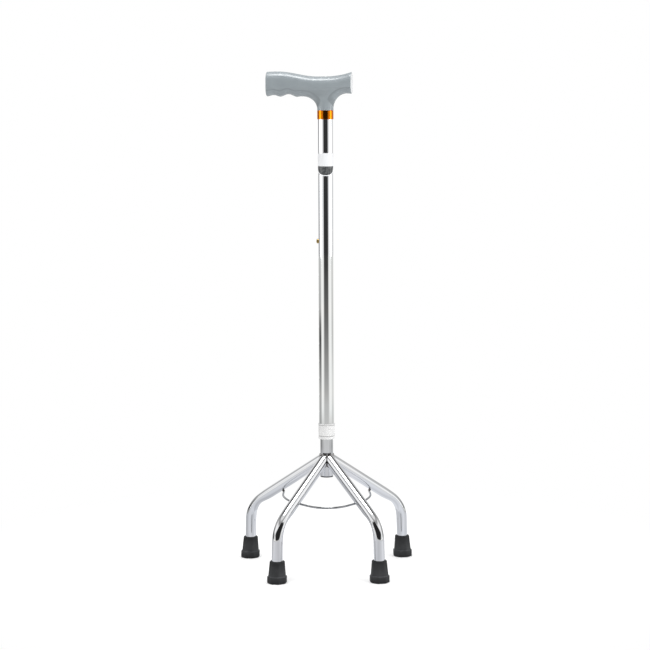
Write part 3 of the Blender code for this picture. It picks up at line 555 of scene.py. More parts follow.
def sleeve(inner, outer, bottom, top, rings=0):
    # rings along it keep the gloss of a long tube even
    levels = [between(bottom, top, ring / (rings + 1)) for ring in range(rings + 2)]
    return [(inner, bottom)] + [(outer, level) for level in levels] + [(inner, level) for level in levels[::-1]]


def addModifier(piece, kind, **settings):
    step = piece.modifiers.new(kind.lower(), kind)
    adjust(step, settings)
    selectOnly(piece)
    bpy.ops.object.modifier_apply(modifier=step.name)


def softenEdges(piece, width, segments=3, angle=40):
    edge = {"width": mm(width), "segments": segments, "angle_limit": radians(angle)}
    addModifier(piece, "BEVEL", limit_method="ANGLE", **edge)


def cut(piece, cutter):
    addModifier(piece, "BOOLEAN", object=cutter, operation="DIFFERENCE", solver="EXACT")
    bpy.data.objects.remove(cutter, do_unlink=True)


def setDown(piece, matrix):
    selectOnly(piece)
    piece.matrix_world = matrix
    bpy.ops.object.transform_apply(location=True, rotation=True, scale=True)


def paint(piece, finish):
    piece.data.materials.clear()
    piece.data.materials.append(finish)


def turnPiece(name, profile, steps, place, edge, segments=3, angle=40):
    piece = turnProfile(name, profile, steps)
    setDown(piece, place)
    softenEdges(piece, edge, segments, angle)
    return piece


def finishPiece(piece, body, slot, finish, *nodes, smooth=35, flatFaces=False):
    selectOnly(piece)
    bpy.ops.object.shade_smooth_by_angle(angle=radians(smooth))
    if flatFaces:  # long faces keep their own gloss right up to a rounded edge
        addModifier(piece, "WEIGHTED_NORMAL", keep_sharp=True, weight=100)
    paint(piece, finish)
    piece.data.name = piece.name
    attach(piece, body)
    if nodes:
        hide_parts(*nodes)


def rounding(centre, radius, start, end, steps=5):
    # points of an arc, with angles in degrees
    turns = [radians(between(start, end, step / steps)) for step in range(steps + 1)]
    return [(centre[0] + radius * cos(turn), centre[1] + radius * sin(turn)) for turn in turns]


# Upper tube with its row of height holes, lower tube, button and plug

holes = {"count": 11, "pitch": 25.4, "radius": 3.6, "lowest": 33.1}
firstHole = upperLow.z + holes["lowest"]
heights = [firstHole + holes["pitch"] * index for index in range(holes["count"])]
buttonHeight = heights[-1]
tubes = {
    "upperTube": {
        "node": "upper_tube", "body": "upper", "radii": (9.9, 11.1), "rim": 0.3, "rings": 76,
        "holes": heights, "drill": 16,
    },
    "lowerTube": {
        "node": "lower_tube", "body": "base", "radii": (8.325, 9.525), "rim": 0.3, "rings": 56,
        "holes": [buttonHeight], "drill": 14,
    },
}


def holeCutter(levels, depth):
    size = {"vertices": 40, "radius": mm(holes["radius"]), "depth": mm(depth), "rotation": (0, pi / 2, 0)}
    cutters = []
    for level in levels:
        place = (mm(-depth / 2), mm(shaftY), mm(level))
        cutters.append(addObject("holeCutter", bpy.ops.mesh.primitive_cylinder_add, location=place, **size))
    for cutter in cutters:
        cutter.select_set(True)
    bpy.context.view_layer.objects.active = cutters[0]
    if len(cutters) > 1:
        bpy.ops.object.join()
    return bpy.context.object


for name, tube in tubes.items():
    low, high = boxOf(tube["node"])
    wall = sleeve(*tube["radii"], low.z, high.z, tube["rings"])
    piece = turnPiece(name, wall, 128, atShaft, tube["rim"])
    cut(piece, holeCutter(tube["holes"], tube["drill"]))
    finishPiece(piece, tube["body"], "chrome", chrome, tube["node"], flatFaces=True)

button = {
    "radius": 3.3, "tip": 13.9, "dome": 1.5, "edge": 0.15, "rivet": 1.3,
    "head": (2.3, 3.73, 4.53),  # radius and both heights
    "flange": (4.6, 5.73, 6.53),
}
head, headLow, headHigh = button["head"]
flange, flangeLow, flangeHigh = button["flange"]
profile = [(0, headLow), (head, headLow), (head, headHigh), (button["rivet"], headHigh)]
profile += [(button["rivet"], flangeLow), (flange, flangeLow), (flange, flangeHigh)]
profile += [(button["radius"], flangeHigh)]
for step in range(9):
    turn = pi / 2 * step / 8
    profile.append((button["radius"] * cos(turn), button["tip"] - button["dome"] * (1 - sin(turn))))
inHole = Matrix.Translation((0, mm(shaftY), mm(buttonHeight))) @ Matrix.Rotation(-pi / 2, 4, "Y")
snapButton = turnPiece("snapButton", profile, 48, inHole, button["edge"], 2, 60)
finishPiece(snapButton, "button", "brass", brass, "snap_button")

low, high = boxOf("tube_end_plug")
plug = {
    "radius": 9.525, "spigot": 8, "flange": 1.3, "wall": 1.6, "gap": 0.3, "edge": 0.3, "dish": 0.5,
    "dishRadii": (4.6, 5.4),
}
bottom, shoulder = low.z, low.z + plug["flange"]
dishStart, dishEnd = plug["dishRadii"]
hollow = plug["spigot"] - plug["wall"]
hollowLow = shoulder + plug["gap"] + plug["wall"]
profile = [(0, bottom + plug["dish"]), (dishStart, bottom + plug["dish"]), (dishEnd, bottom)]
profile += [(plug["radius"], bottom), (plug["radius"], shoulder), (plug["spigot"], shoulder)]
profile += [(plug["spigot"], high.z), (hollow, high.z), (hollow, hollowLow), (0, hollowLow)]
tubePlug = turnPiece("tubePlug", profile, 96, atShaft, plug["edge"])
finishPiece(tubePlug, "base", "black_plastic", blackPlug, "tube_end_plug", flatFaces=True)
print("tubes, button and plug ready")


# Collar with its small round catch, and orange ring

collar = {
    "bore": 11.4, "lip": 9.825, "lipHeight": 6.3, "radius": 12.25, "draft": 0.35, "waist": 0.1,
    "groove": 0.45, "topRib": 2, "bottomRib": 4.4, "edge": 0.22,
}
low, high = boxOf("anti_rattle_collar")
foot = collar["radius"] - collar["draft"]
groove = collar["groove"]
lowGroove = low.z + collar["bottomRib"]
highGroove = high.z - collar["topRib"]
# painted shade darkens the collar at both of its grooves
collarPlastic = paleFinish("paleCollar", (0.8, 0.8, 0.795), (lowGroove, highGroove))
profile = [(collar["lip"], low.z), (foot, low.z)]
for under, over, level in (
    (foot, foot, lowGroove), (collar["radius"] - collar["waist"], collar["radius"], highGroove)
):
    profile += [(under, level - groove), (over - groove, level - groove / 2)]
    profile += [(over - groove, level + groove / 2), (over, level + groove)]
profile += [(collar["radius"], high.z), (collar["bore"], high.z), (collar["bore"], low.z + collar["lipHeight"])]
profile += [(collar["lip"], low.z + collar["lipHeight"]), (collar["lip"], low.z)]
rattleCollar = turnPiece("rattleCollar", profile, 128, atShaft, collar["edge"], 3, 25)
shading = {"smooth": 50, "flatFaces": True}
finishPiece(rattleCollar, "upper", "pale_plastic", collarPlastic, "anti_rattle_collar", **shading)

catch = {
    "turn": 21, "below": 5.2, "sunk": 0.75, "radius": 2.1, "rim": 0.85, "dish": 0.55,
    "dishShares": (0.62, 0.5), "edge": 0.12,
}
profile = [(0, 0), (catch["radius"], 0), (catch["radius"], catch["rim"])]
for share, level in zip(catch["dishShares"], (catch["rim"], catch["dish"])):
    profile.append((catch["radius"] * share, level))
facing = atShaft @ Matrix.Rotation(radians(catch["turn"]), 4, "Z")
seat = Matrix.Translation((0, mm(catch["sunk"] - collar["radius"]), mm(high.z - catch["below"])))
place = facing @ seat @ Matrix.Rotation(pi / 2, 4, "X")
collarCatch = turnPiece("collarCatch", profile + [(0, catch["dish"])], 40, place, catch["edge"], 2, 30)
finishPiece(collarCatch, "upper", "pale_plastic", collarPlastic)

low, high = boxOf("collar_ring")
ring = {"bore": 11.4, "radius": 11.95, "edge": 0.16}
wall = sleeve(ring["bore"], ring["radius"], low.z, high.z)
orangeRing = turnPiece("orangeRing", wall, 128, atShaft, ring["edge"])
finishPiece(orangeRing, "upper", "orange_anodised", orange, "collar_ring", flatFaces=True)
print("collar and ring ready")


# Legs: one is drawn in its own frame, with X outwards from the shaft, and set down four times

leg = {
    "radius": 7.95, "wall": 1.3, "slope": 33.4, "bend": 42.65, "kneeHeight": 81.6, "reach": 129.9,
    "splay": 1.69, "frontAngle": 34.9, "rearAngle": 63.1, "end": 8.1, "cope": 9.825,
    "copeLength": 70, "gap": 0.05, "insideFlat": 2.2, "outsideFlat": 0.9,
    "flatStart": -0.4,  # shares of the bend
    "flatEnd": 0.95, "slantSteps": 30, "bendSteps": 36, "footSteps": 5,
}
slope = radians(leg["slope"])
splay = radians(leg["splay"])
kneeReach = leg["reach"] - leg["kneeHeight"] * tan(splay)
apexHeight = leg["kneeHeight"] + kneeReach * tan(slope)
sideMitre = (leg["frontAngle"] + 180 - leg["rearAngle"]) / 2
# each leg's node, its bearing and the sector that it keeps
legs = {
    "FrontLeft": ("front_left", -leg["frontAngle"], (-sideMitre, 0)),
    "FrontRight": ("front_right", leg["frontAngle"], (0, sideMitre)),
    "RearLeft": ("rear_left", leg["rearAngle"] - 180, (-180, -sideMitre)),
    "RearRight": ("rear_right", 180 - leg["rearAngle"], (sideMitre, 180)),
}


def legFrame(bearing):
    return atShaft @ Matrix.Rotation(radians(bearing - 90), 4, "Z")


def drawLeg(name):
    along = Vector((cos(slope), 0, -sin(slope)))
    above = Vector((sin(slope), 0, cos(slope)))
    down = Vector((sin(splay), 0, -cos(splay)))
    turn = along.angle(down)
    tangent = leg["bend"] * tan(turn / 2)
    apex = Vector((0, 0, apexHeight))
    knee = Vector((kneeReach, 0, leg["kneeHeight"]))
    bendStart = knee - along * tangent
    bendEnd = knee + down * tangent
    centre = bendStart - above * leg["bend"]
    piece = addObject(name, bpy.ops.mesh.primitive_circle_add, vertices=64, radius=mm(leg["radius"]))
    setDown(piece, Matrix.Translation(apex / 1000) @ Matrix.Rotation(pi / 2 + slope, 4, "Y"))
    startEdit()
    for _ in range(leg["slantSteps"]):
        drawOut(*(bendStart - apex) / leg["slantSteps"])
    bpy.ops.mesh.spin(steps=leg["bendSteps"], angle=-turn, center=centre / 1000, axis=(0, 1, 0))
    fall = down * ((bendEnd.z - leg["end"]) / cos(splay))
    for _ in range(leg["footSteps"]):
        drawOut(*fall / leg["footSteps"])
    bpy.ops.transform.resize(value=(1, 1, 0), center_override=(0, 0, mm(leg["end"])))
    closeShape()
    # the bend is pressed a little flat, most on its inner side and early on
    for vertex in piece.data.vertices:
        arm = Vector((vertex.co.x, 0, vertex.co.z)) * 1000 - centre
        share = (atan2(arm.x, arm.z) - slope) / turn
        out = arm.normalized()
        if share < 0:
            share = arm.dot(along) / (leg["bend"] * turn)
            out = above
        if leg["flatStart"] < share < leg["flatEnd"]:
            off = (arm.dot(out) - leg["bend"]) / leg["radius"]
            press = leg["insideFlat"] if off < 0 else leg["outsideFlat"]
            within = (share - leg["flatStart"]) / (leg["flatEnd"] - leg["flatStart"])
            vertex.co -= out * mm(press * off * sin(pi * within) ** 2)
    addModifier(piece, "SOLIDIFY", thickness=mm(leg["wall"]), offset=-1, use_even_offset=True)
    return piece


def mitreLeg(piece, sector):
    # keeps what lies between two upright planes through the shaft's axis
    startEdit()
    for bearing, side in zip(sector, (-1, 1)):
        outside = Vector((cos(radians(bearing)), sin(radians(bearing)), 0)) * side
        place = Vector((0, mm(shaftY), 0)) - outside * mm(leg["gap"])
        selectAll()
        bpy.ops.mesh.bisect(plane_co=place, plane_no=outside, use_fill=True, clear_outer=True, threshold=hair)
    closeShape()


copeSize = {"vertices": 128, "radius": mm(leg["cope"]), "depth": mm(leg["copeLength"])}
for name, (node, bearing, sector) in legs.items():
    piece = drawLeg("leg" + name)
    apex = (0, 0, mm(apexHeight))
    cut(piece, addObject("legCope", bpy.ops.mesh.primitive_cylinder_add, location=apex, **copeSize))
    setDown(piece, legFrame(bearing))
    mitreLeg(piece, sector)
    finishPiece(piece, "base", "chrome", chrome, "leg_" + node)
print("legs ready")


# Weld beads: one round the root of each leg, and one in each valley between two legs

bead = {"radius": 1.15, "ripple": 0.352, "lumps": 620, "valley": 0.9, "sunk": 0.05}


def bentRod(name, points, radius, closed, sides=6, smooth=8):
    # a round rod along a smooth curve through the points
    curve = addObject(name, bpy.ops.curve.primitive_bezier_curve_add).data
    adjust(curve, {"bevel_depth": mm(radius), "bevel_resolution": sides})
    adjust(curve, {"resolution_u": smooth, "use_fill_caps": True})
    spline = curve.splines[0]
    spline.use_cyclic_u = closed
    spline.bezier_points.add(len(points) - len(spline.bezier_points))
    for knot, point in zip(spline.bezier_points, points):
        adjust(knot, {"co": point / 1000, "handle_left_type": "AUTO", "handle_right_type": "AUTO"})
    bpy.ops.object.convert(target="MESH")
    startEdit()
    closeShape()
    return bpy.context.object


def layBead(name, points, radius, closed, seed, place, finish):
    # the little overlapping puddles of a welded seam
    piece = bentRod(name, points, radius, closed)
    for vertex in piece.data.vertices:
        lump = noise.noise(vertex.co * bead["lumps"] + Vector((seed, 0, 0)))
        vertex.co += vertex.normal * mm(bead["ripple"] * lump)
    setDown(piece, place)
    finishPiece(piece, "base", "chrome", finish)


def rootPoint(turn):
    # where the leg's skin meets the lower tube, in the leg's frame
    across = leg["radius"] * sin(turn)
    out = sqrt(leg["cope"] ** 2 - across**2)
    return Vector((out, across, apexHeight - out * tan(slope) + leg["radius"] * cos(turn) / cos(slope)))


rootPoints = [rootPoint(tau * step / 24) for step in range(24)]
for index, (name, (_, bearing, _)) in enumerate(legs.items()):
    layBead("weldRoot" + name, rootPoints, bead["radius"], True, index, legFrame(bearing), weld)

# each valley's bearing, half of its angle and its finish
valleys = {
    # the front valley takes the darker weld, which carries painted shade
    "weldFront": (0, leg["frontAngle"], burntWeld),
    "weldLeft": (-sideMitre, sideMitre - leg["frontAngle"], weld),
    "weldRight": (sideMitre, sideMitre - leg["frontAngle"], weld),
}
for index, (name, (bearing, half, finish)) in enumerate(valleys.items()):
    half = radians(half)
    furthest = leg["radius"] / sin(half) - bead["sunk"]
    shares = [sin(pi / 2 * step / 7) for step in range(8)]
    points = []
    for side, order in ((1, shares), (-1, shares[-2::-1])):
        for share in order:
            out = between(leg["cope"], furthest, share)
            rise = sqrt(max(0, leg["radius"] ** 2 - (out * sin(half)) ** 2)) / cos(slope)
            points.append(Vector((out, 0, apexHeight - out * cos(half) * tan(slope) + side * rise)))
    layBead(name, points, bead["valley"], False, index + 7, legFrame(bearing), finish)

# painted shade: a black bead laid in the seam at the foot of the tube between the two front legs, where that
# seam lies in shade
mouth = {"half": 34, "height": 171, "sag": 0.6, "radius": 1, "out": 9.9}
points = []
for step in range(-4, 5):
    turn = radians(mouth["half"] * step / 4)
    height = mouth["height"] - mouth["sag"] * (1 - (step / 4) ** 2)
    points.append(Vector((mouth["out"] * sin(turn), -mouth["out"] * cos(turn), height)))
layBead("weldMouth", points, mouth["radius"], False, 12, atShaft, blackPlug)
print("weld beads ready")


# Wire brace, with a drop of weld at each leg

wire = {
    "radius": 1.5, "below": 59.7, "bulge": 30.8, "pull": 1, "forward": 13, "endRun": 4,
    "frontSlant": 1.035, "rearSlant": 1.06, "gap": 0.3, "edge": 0.3,
}


def wireSeat(slant, bearing):
    seat = (leg["radius"] + wire["radius"] + wire["gap"]) * slant / cos(slope)
    reach = (wire["below"] - seat) / tan(slope)
    return reach * sin(radians(bearing)), reach * cos(radians(bearing))


rearX, rearY = wireSeat(wire["rearSlant"], leg["rearAngle"])
frontX, frontY = wireSeat(wire["frontSlant"], 180 - leg["frontAngle"])
wireHeight = apexHeight - wire["below"]
half = [(rearX, rearY + wire["endRun"]), (rearX, rearY)]
half += [(rearX - wire["pull"], -wire["forward"]), (frontX, frontY)]
path = half + [(0, frontY - wire["bulge"])] + [(-x, y) for x, y in half[::-1]]
points = [Vector((x, y, wireHeight)) for x, y in path]
braceWire = bentRod("braceWire", points, wire["radius"], False, 8, 32)
softenEdges(braceWire, wire["edge"], 3, 60)
setDown(braceWire, atShaft)
finishPiece(braceWire, "base", "chrome", platedWire, "brace_wire")

spot = {
    "radius": 2, "lumps": 900, "ripple": 0.22, "seedStep": 3.1, "squash": 0.75, "above": 1.2,
    "out": 0.6,
}
places = ((-frontX, frontY), (frontX, frontY), (-rearX, rearY), (rearX, rearY))
for index, (name, (x, y)) in enumerate(zip(legs, places)):
    size = {"segments": 24, "ring_count": 14, "radius": mm(spot["radius"])}
    piece = addObject("wireSpot" + name, bpy.ops.mesh.primitive_uv_sphere_add, **size)
    seed = Vector((index * spot["seedStep"], 0, 0))
    for vertex in piece.data.vertices:
        vertex.co *= 1 + spot["ripple"] * noise.noise(vertex.co * spot["lumps"] + seed)
        vertex.co.z *= spot["squash"]
    outward = Vector((x, y, 0)).normalized() * spot["out"]
    setDown(piece, atShaft @ Matrix.Translation((Vector((x, y, wireHeight + spot["above"])) + outward) / 1000))
    # the drops take the darker weld, which carries painted shade where the wire meets the leg
    finishPiece(piece, "base", "chrome", burntWeld, smooth=180)
print("wire brace ready")


# Rubber tips: softly eight-sided, with a stepped band and a ringed sole

tip = {
    "height": 32, "floor": 6, "top": 11.05, "cone": 12.9, "band": 14.45, "bandHeight": 10,
    "step": 0.55, "edge": 1.5, "lip": 1.2, "bore": 8.25, "facets": 8, "facetShare": 0.955,
    "facetSharpness": 260, "grooves": (5.5, 9), "grooveWidth": 1.6, "grooveDepth": 1.2,
    "grooveDraft": 0.2, "ledge": ((0.25, 0.05), (0, 0.35)), "mouthEdge": 0.5, "soleClear": 0.1,
    "boreClear": 0.6,
}


def tipProfile():
    profile = [(0, 0)]
    draft, depth = tip["grooveDraft"], tip["grooveDepth"]
    band, edge, step, lip = tip["band"], tip["edge"], tip["step"], tip["lip"]
    bore, mouth, height = tip["bore"], tip["mouthEdge"], tip["height"]
    for radius in tip["grooves"]:
        outer = radius + tip["grooveWidth"]
        profile += [(radius, 0), (radius + draft, depth), (outer - draft, depth), (outer, 0)]
    profile += rounding((band - edge, edge), edge, -90, 0)
    profile += rounding((band - step, tip["bandHeight"] - step), step, 0, 80, 4)
    profile += [(tip["cone"] + out, tip["bandHeight"] + rise) for out, rise in tip["ledge"]]
    profile += rounding((tip["top"] - lip, height - lip), lip, 5, 90)
    profile += [(bore + mouth, height), (bore, height - mouth)]
    return profile + [(bore, tip["floor"]), (0, tip["floor"])]


def facetShare(turn):
    # eight flats with soft corners in place of sharp ones
    step = tau / tip["facets"]
    flat = tip["facetShare"] / cos(abs(turn % step - step / 2))
    return 1 - log1p(exp((1 - flat) * tip["facetSharpness"])) / tip["facetSharpness"]


for name, (node, bearing, _) in legs.items():
    piece = turnProfile("rubberTip" + name, tipProfile())
    for vertex in piece.data.vertices:
        radius = hypot(vertex.co.x, vertex.co.y) * 1000
        # the ringed sole and the bore stay round
        onSkin = radius > tip["grooves"][-1] + tip["grooveWidth"] + tip["soleClear"]
        onCone = vertex.co.z > mm(tip["floor"]) and radius > tip["bore"] + tip["boreClear"]
        if onSkin or onCone:
            share = facetShare(atan2(vertex.co.y, vertex.co.x))
            vertex.co.x *= share
            vertex.co.y *= share
        vertex.co.x -= vertex.co.z * tan(splay)
    setDown(piece, legFrame(bearing) @ Matrix.Translation((mm(leg["reach"]), 0, 0)))
    finishPiece(piece, "base", "black_rubber", rubber, "rubber_tip_" + node, smooth=45)
print("rubber tips ready")


# Grip: its side outline is drawn point by point, rounded over in rings and mirrored

grip = {
    "turn": -9, "halfWidth": 13.5, "crown": 0.035, "crownHeight": 38, "crownSpan": 18,
    "neckRadius": 11.95, "neckCore": 0.2, "taperHeight": 30, "tail": (-86, 20, 55.7),
    "crest": (-68.8, 56.2), "saddle": (-12.1, 48.9), "nose": (38.9, 23.6, 55.3),
    "firstRidge": (-66, 19.5), "secondRidge": (-41.4, 19.1), "firstGroove": 2, "secondGroove": 3.7,
    "shoulderRise": 0.3, "grooveShape": 1.75, "rearFillet": (33, 19.8), "noseFillet": (32, 24),
    "neckStraight": 1.5, "neckLift": 0.3, "topRounding": 12, "underRounding": 9.5, "rings": 16,
    "bandStep": 1.2, "bands": 46, "kink": 12, "kinkStart": 3, "kinkSpan": 12, "tailEdge": 0.9,
    "noseEdge": 0.6, "capRim": 1.2, "capDepth": 1.8, "tenonRadius": 9.5, "tenonLength": 45,
}


def addGripLines(shader, place):
    # painted shade: the skin is darkened where it faces a little downward, just under the crease of the finger
    # side
    tree = place.id_data
    facing = addSplit(addNode(tree, "TexCoord").outputs["Normal"])["Z"]
    dip = addMath("MULTIPLY_ADD", facing, 0.5, 0.5)
    darken(shader, addRamp(dip, {0.1: 1, 0.25: 0.95, 0.34: 0.77, 0.4: 0.77, 0.425: 1}))
    # the parting line follows the grip's own middle plane
    turn = (0, 0, radians(grip["turn"]))
    turned = addNode(tree, "Mapping", place, (0, mm(shaftY), 0), turn, vector_type="TEXTURE")
    off = multiply(addMath("ABSOLUTE", addSplit(turned)["Y"]), 1000)
    addBump(shader, addRamp(off, {0: 0, 0.16: 0.3, 0.3: 1}, "EASE"), 0.15, 0.06)


# gloss moulded plastic with a fine satin grain
gripPlastic = makeFinish(
    "gripPlastic", (0.285, 0.318, 0.337), 0.24, 0,
    tone=((70, 5), {0.3: (0.271, 0.304, 0.323), 0.7: (0.294, 0.328, 0.347)}),
    gloss=((90,), {0.3: 0.21, 0.7: 0.26}),
    bump=((700, 1), 0.005, 0.03),
    sockets={"IOR": 1.49, "Coat Weight": 0.25, "Coat Roughness": 0.13},
    more=addGripLines,
)


def smoothStep(share):
    share = max(0, min(1, share))
    return share * share * (3 - 2 * share)


def topHeight(x):
    crestX, crestZ = grip["crest"]
    saddleX, saddleZ = grip["saddle"]
    if x < crestX:
        return between(crestZ, grip["tail"][2], ((x - crestX) / (grip["tail"][0] - crestX)) ** 2)
    if x < saddleX:
        return between(crestZ, saddleZ, smoothStep((x - crestX) / (saddleX - crestX)))
    return between(saddleZ, grip["nose"][2], max(0, x / grip["nose"][0]) ** 2)


def fingerGroove(start, end, depth, steps):
    points = []
    for step in range(1, steps + 1):
        share = step / steps
        rise = depth * max(0, sin(pi * share)) ** grip["grooveShape"]
        points.append((between(start[0], end[0], share), between(start[1], end[1], share) + rise))
    return points


def neckFillet(side, reach, height, steps=20):
    # each point with the way in which the rounding moves it
    across = reach - grip["neckRadius"]
    rise = height - grip["neckStraight"]
    inward = grip["neckRadius"] - grip["neckCore"]
    points = []
    for step in range(steps + 1):
        turn = pi / 2 * step / steps
        point = (side * (reach - across * sin(turn)), grip["neckStraight"] + rise * cos(turn))
        points.append((point, (-side * inward * sin(turn), grip["underRounding"] * cos(turn))))
    return points + [((side * grip["neckRadius"], 0), (-side * inward, 0))]


def gripOutline():
    tailX, tailBottom, _ = grip["tail"]
    noseX, noseBottom, _ = grip["nose"]
    tailX += grip["tailEdge"]
    noseX -= grip["noseEdge"]
    xs = [between(tailX, noseX, step / 48) for step in range(49)]
    outline = [((x, topHeight(x)), (0, -grip["topRounding"])) for x in xs]
    under = (0, grip["underRounding"])
    filletX, filletZ = grip["noseFillet"]
    for share in (0, 0.25, 0.5, 0.75):
        level = between(noseBottom, filletZ, smoothStep(share))
        outline.append(((between(noseX, filletX, share), level), under))
    outline += neckFillet(1, *grip["noseFillet"])
    outline += neckFillet(-1, *grip["rearFillet"])[::-1]
    rear = (-grip["rearFillet"][0], grip["rearFillet"][1])
    points = fingerGroove(rear, grip["secondRidge"], grip["shoulderRise"], 6)
    points += fingerGroove(grip["secondRidge"], grip["firstRidge"], grip["secondGroove"], 18)
    points += fingerGroove(grip["firstRidge"], (tailX, tailBottom), grip["firstGroove"], 12)
    return outline + [(point, under) for point in points]


def gripWidth(height):
    # share of the full width at a height: narrow at the neck, slightly crowned on the arm
    neck = grip["neckRadius"] / grip["halfWidth"]
    widened = smoothStep(height / grip["taperHeight"])
    crown = 1 - grip["crown"] * ((height - grip["crownHeight"]) / grip["crownSpan"]) ** 2 * widened
    return between(neck, 1, widened) * crown


def shrinkEnd(end, before, after):
    # draws the selected end face in by as much on every side, about its middle
    x, low, high = end
    tall = (high - low) / 2
    across = (grip["halfWidth"] - after) / (grip["halfWidth"] - before)
    up = (tall - after) / (tall - before)
    bpy.ops.transform.resize(value=(1, across, up), center_override=(mm(x), 0, mm((low + high) / 2)))


def roundEnd(end, way, edge, steps, inset=0):
    for step in range(1, steps + 1):
        turn = pi / 2 * step / steps
        last = pi / 2 * (step - 1) / steps
        drawOut(edge * (sin(turn) - sin(last)) * way)
        shrinkEnd(end, inset + edge * (1 - cos(last)), inset + edge * (1 - cos(turn)))


outline = gripOutline()
handle = drawLine("handleGrip", [point for point, _ in outline])
# each vertex keeps its place in the outline, and the line's two ends are joined
shape = bmesh.from_edit_mesh(handle.data)
order = shape.verts.layers.int.new("order")
for vertex in shape.verts:
    gaps = [(vertex.co.x - mm(point[0])) ** 2 + (vertex.co.z - mm(point[1])) ** 2 for point, _ in outline]
    vertex[order] = gaps.index(min(gaps))
    vertex.select_set(vertex[order] in (0, len(outline) - 1))
shape.select_flush_mode()
bmesh.update_edit_mesh(handle.data)
bpy.ops.mesh.edge_face_add()
bpy.ops.mesh.select_mode(type="EDGE")
selectAll()
for ringStep in range(1, grip["rings"] + 1):
    drawOut()
    shape = bmesh.from_edit_mesh(handle.data)
    order = shape.verts.layers.int["order"]
    for vertex in shape.verts:
        if vertex.select:
            (x, z), (moveX, moveZ) = outline[vertex[order]]
            # the rounding of the underside meets the flat side at a soft crease, which dies out down the neck
            fading = smoothStep((z - grip["kinkStart"]) / grip["kinkSpan"])
            last = pi / 2 - (radians(grip["kink"]) * fading if moveZ > -1 else 0)
            turn = last * ringStep / grip["rings"]
            shrink = (1 - cos(turn)) / (1 - cos(last))
            y = -grip["halfWidth"] * sin(turn) / sin(last)
            vertex.co = Vector((x + moveX * shrink, y, z + moveZ * shrink)) / 1000
    bmesh.update_edit_mesh(handle.data)
bpy.ops.mesh.edge_face_add()
for band in range(1, grip["bands"]):
    # only the flat side is cut into bands; the rings of the rounding stay clean
    pickFaces(handle, "y", -grip["halfWidth"], 0.001)
    place = (0, 0, mm(band * grip["bandStep"]))
    bpy.ops.mesh.bisect(plane_co=place, plane_no=(0, 0, 1), threshold=hair)
shape = bmesh.from_edit_mesh(handle.data)
for vertex in shape.verts:
    vertex.co.y *= gripWidth(vertex.co.z * 1000)
bmesh.update_edit_mesh(handle.data)
endEdit()
addModifier(handle, "MIRROR", use_axis=(False, True, False), use_clip=False, merge_threshold=double)
startEdit()
closeShape()
startEdit()
# rounded tail end
pickFaces(handle, "x", grip["tail"][0] + grip["tailEdge"])
bpy.ops.mesh.dissolve_faces()
roundEnd(grip["tail"], -1, grip["tailEdge"], 6)
# nose: small rounding, then the seat of the end cap, whose floor is copied off as the cap's back
pickFaces(handle, "x", grip["nose"][0] - grip["noseEdge"])
bpy.ops.mesh.dissolve_faces()
roundEnd(grip["nose"], 1, grip["noseEdge"], 4)
drawOut()
shrinkEnd(grip["nose"], grip["noseEdge"], grip["capRim"])
drawOut(-grip["capDepth"])
bpy.ops.mesh.duplicate()
bpy.ops.mesh.separate(type="SELECTED")
# tenon under the neck
pickFaces(handle, "z", 0)
bpy.ops.mesh.dissolve_faces()
bpy.ops.mesh.inset(thickness=mm(grip["neckRadius"] - grip["tenonRadius"]))
drawOut(z=-grip["tenonLength"])
endEdit()
neckFoot = Matrix.Translation((0, 0, mm(upperHigh.z + grip["neckLift"])))
gripFrame = atShaft @ neckFoot @ Matrix.Rotation(radians(grip["turn"]), 4, "Z")
setDown(handle, gripFrame)
finishPiece(handle, "upper", "grey_plastic", gripPlastic, "handle_grip", smooth=40)

cap = {"gap": 0.12, "play": 0.1, "standOut": 0.2, "edge": 0.5, "crown": 0.25, "ring": 2.4}
endCap = next(piece for piece in bpy.data.objects if piece.name.startswith("handleGrip."))
endCap.name = "handleEndCap"
selectOnly(endCap)
startEdit()
bpy.ops.transform.translate(value=(mm(cap["play"]), 0, 0))
inset = grip["capRim"] + cap["gap"]
shrinkEnd(grip["nose"], grip["capRim"], inset)
drawOut(grip["capDepth"] - cap["play"] + cap["standOut"] - cap["edge"])
roundEnd(grip["nose"], 1, cap["edge"], 5, inset)
inset += cap["edge"]
for share in (0.42, 0.3, 0.18, 0.1):
    drawOut(cap["crown"] * share)
    shrinkEnd(grip["nose"], inset, inset + cap["ring"])
    inset += cap["ring"]
closeShape()
setDown(endCap, gripFrame)
finishPiece(endCap, "upper", "pale_plastic", capPlastic, "handle_end_cap", smooth=50)
print("grip ready")


# Blank two-tone sticker round the front of the upper tube

sticker = {
    "low": 582, "high": 615.3, "half": 17, "topShape": 4.6, "lowShape": 2.3, "thickness": 0.16,
    "border": 1.4, "split": 596.1, "rings": 20, "lift": 0.02,
}
middle = (sticker["low"] + sticker["high"]) / 2
tall = (sticker["high"] - sticker["low"]) / 2


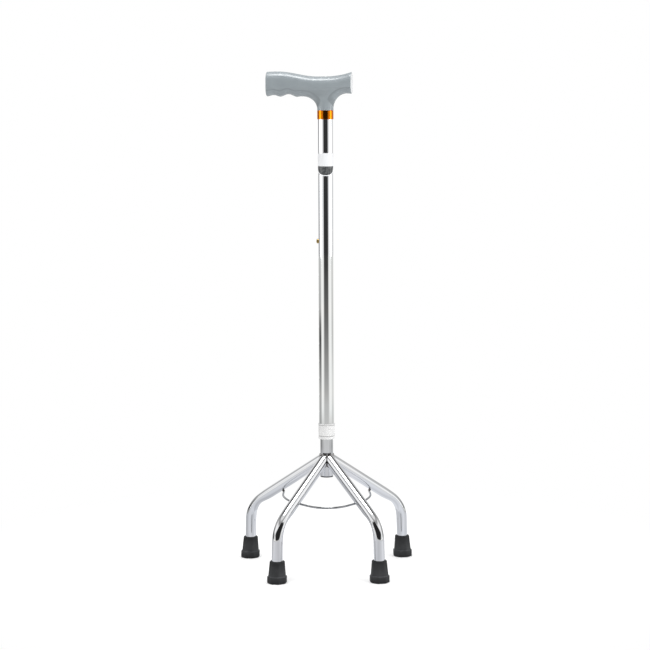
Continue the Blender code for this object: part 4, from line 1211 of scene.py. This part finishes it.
def addLowerField(shader, place):
    # charcoal below, inside a white border
    flat = addSplit(addNode(place.id_data, "UVMap", uv_map="UVMap"))
    shares = []
    for axis, half in (("X", sticker["half"]), ("Y", tall)):
        share = addMath("DIVIDE", addMath("ABSOLUTE", flat[axis]), half - sticker["border"])
        shares.append(addMath("POWER", share, sticker["lowShape"]))
    rim = addMath("ADD", *shares)
    lower = addMath("LESS_THAN", flat["Y"], sticker["split"] - middle)
    field = multiply(addMath("LESS_THAN", rim, 1), lower)
    charcoal = addRamp(addNoise(place, 420, 2), {0.35: (0.035, 0.038, 0.04), 0.65: (0.13, 0.135, 0.137)})
    charcoal = addMix(addRamp(rim, {0.72: 0, 0.95: 1}), charcoal, (0.035, 0.036, 0.038))
    feed(shader["Base Color"], addMix(field, baseOf(shader), charcoal))


film = makeFinish(
    "stickerFilm", (0.86, 0.87, 0.88), 0.32, 0,
    tone=((1400,), {0.3: (0.82, 0.83, 0.85), 0.7: (0.87, 0.88, 0.89)}),
    gloss=((1400,), {0.3: 0.28, 0.7: 0.38}),
    bump=((160, 1), 0.03, 0.04),
    sockets={"IOR": 1.42, "Coat Weight": 0.1, "Coat Roughness": 0.2},
    more=addLowerField,
)
size = {"vertices": 128, "radius": mm(1), "fill_type": "NGON"}
label = addObject("blankSticker", bpy.ops.mesh.primitive_circle_add, **size)
startEdit()
for _ in range(sticker["rings"] - 1):
    bpy.ops.mesh.inset(thickness=mm(1 / sticker["rings"]))
endEdit()
flat = []
for vertex in label.data.vertices:
    radius = hypot(vertex.co.x, vertex.co.y) * 1000
    turn = atan2(vertex.co.y, vertex.co.x)
    shape = sticker["topShape"] if sin(turn) > 0 else sticker["lowShape"]
    stretch = radius * (abs(cos(turn)) ** shape + abs(sin(turn)) ** shape) ** (-1 / shape)
    flat.append((sticker["half"] * stretch * cos(turn), tall * stretch * sin(turn)))
flatMap = label.data.uv_layers[0]
flatMap.name = "UVMap"
for loop in label.data.loops:
    flatMap.data[loop.index].uv = flat[loop.vertex_index]
skin = tubes["upperTube"]["radii"][1] + sticker["lift"]
for vertex, (u, v) in zip(label.data.vertices, flat):
    vertex.co = Vector((skin * sin(u / skin), -skin * cos(u / skin), middle + v)) / 1000
addModifier(label, "SOLIDIFY", thickness=mm(sticker["thickness"]), offset=1, use_even_offset=True)
setDown(label, atShaft)
finishPiece(label, "upper", "pale_plastic", film, smooth=50)
print("sticker ready")


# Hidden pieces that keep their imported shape

hidden = {"tip_washer_" + node: zinc for node, _, _ in legs.values()}
for node, finish in {"button_spring": springSteel, **hidden}.items():
    paint(frame["nodes"][node], finish)
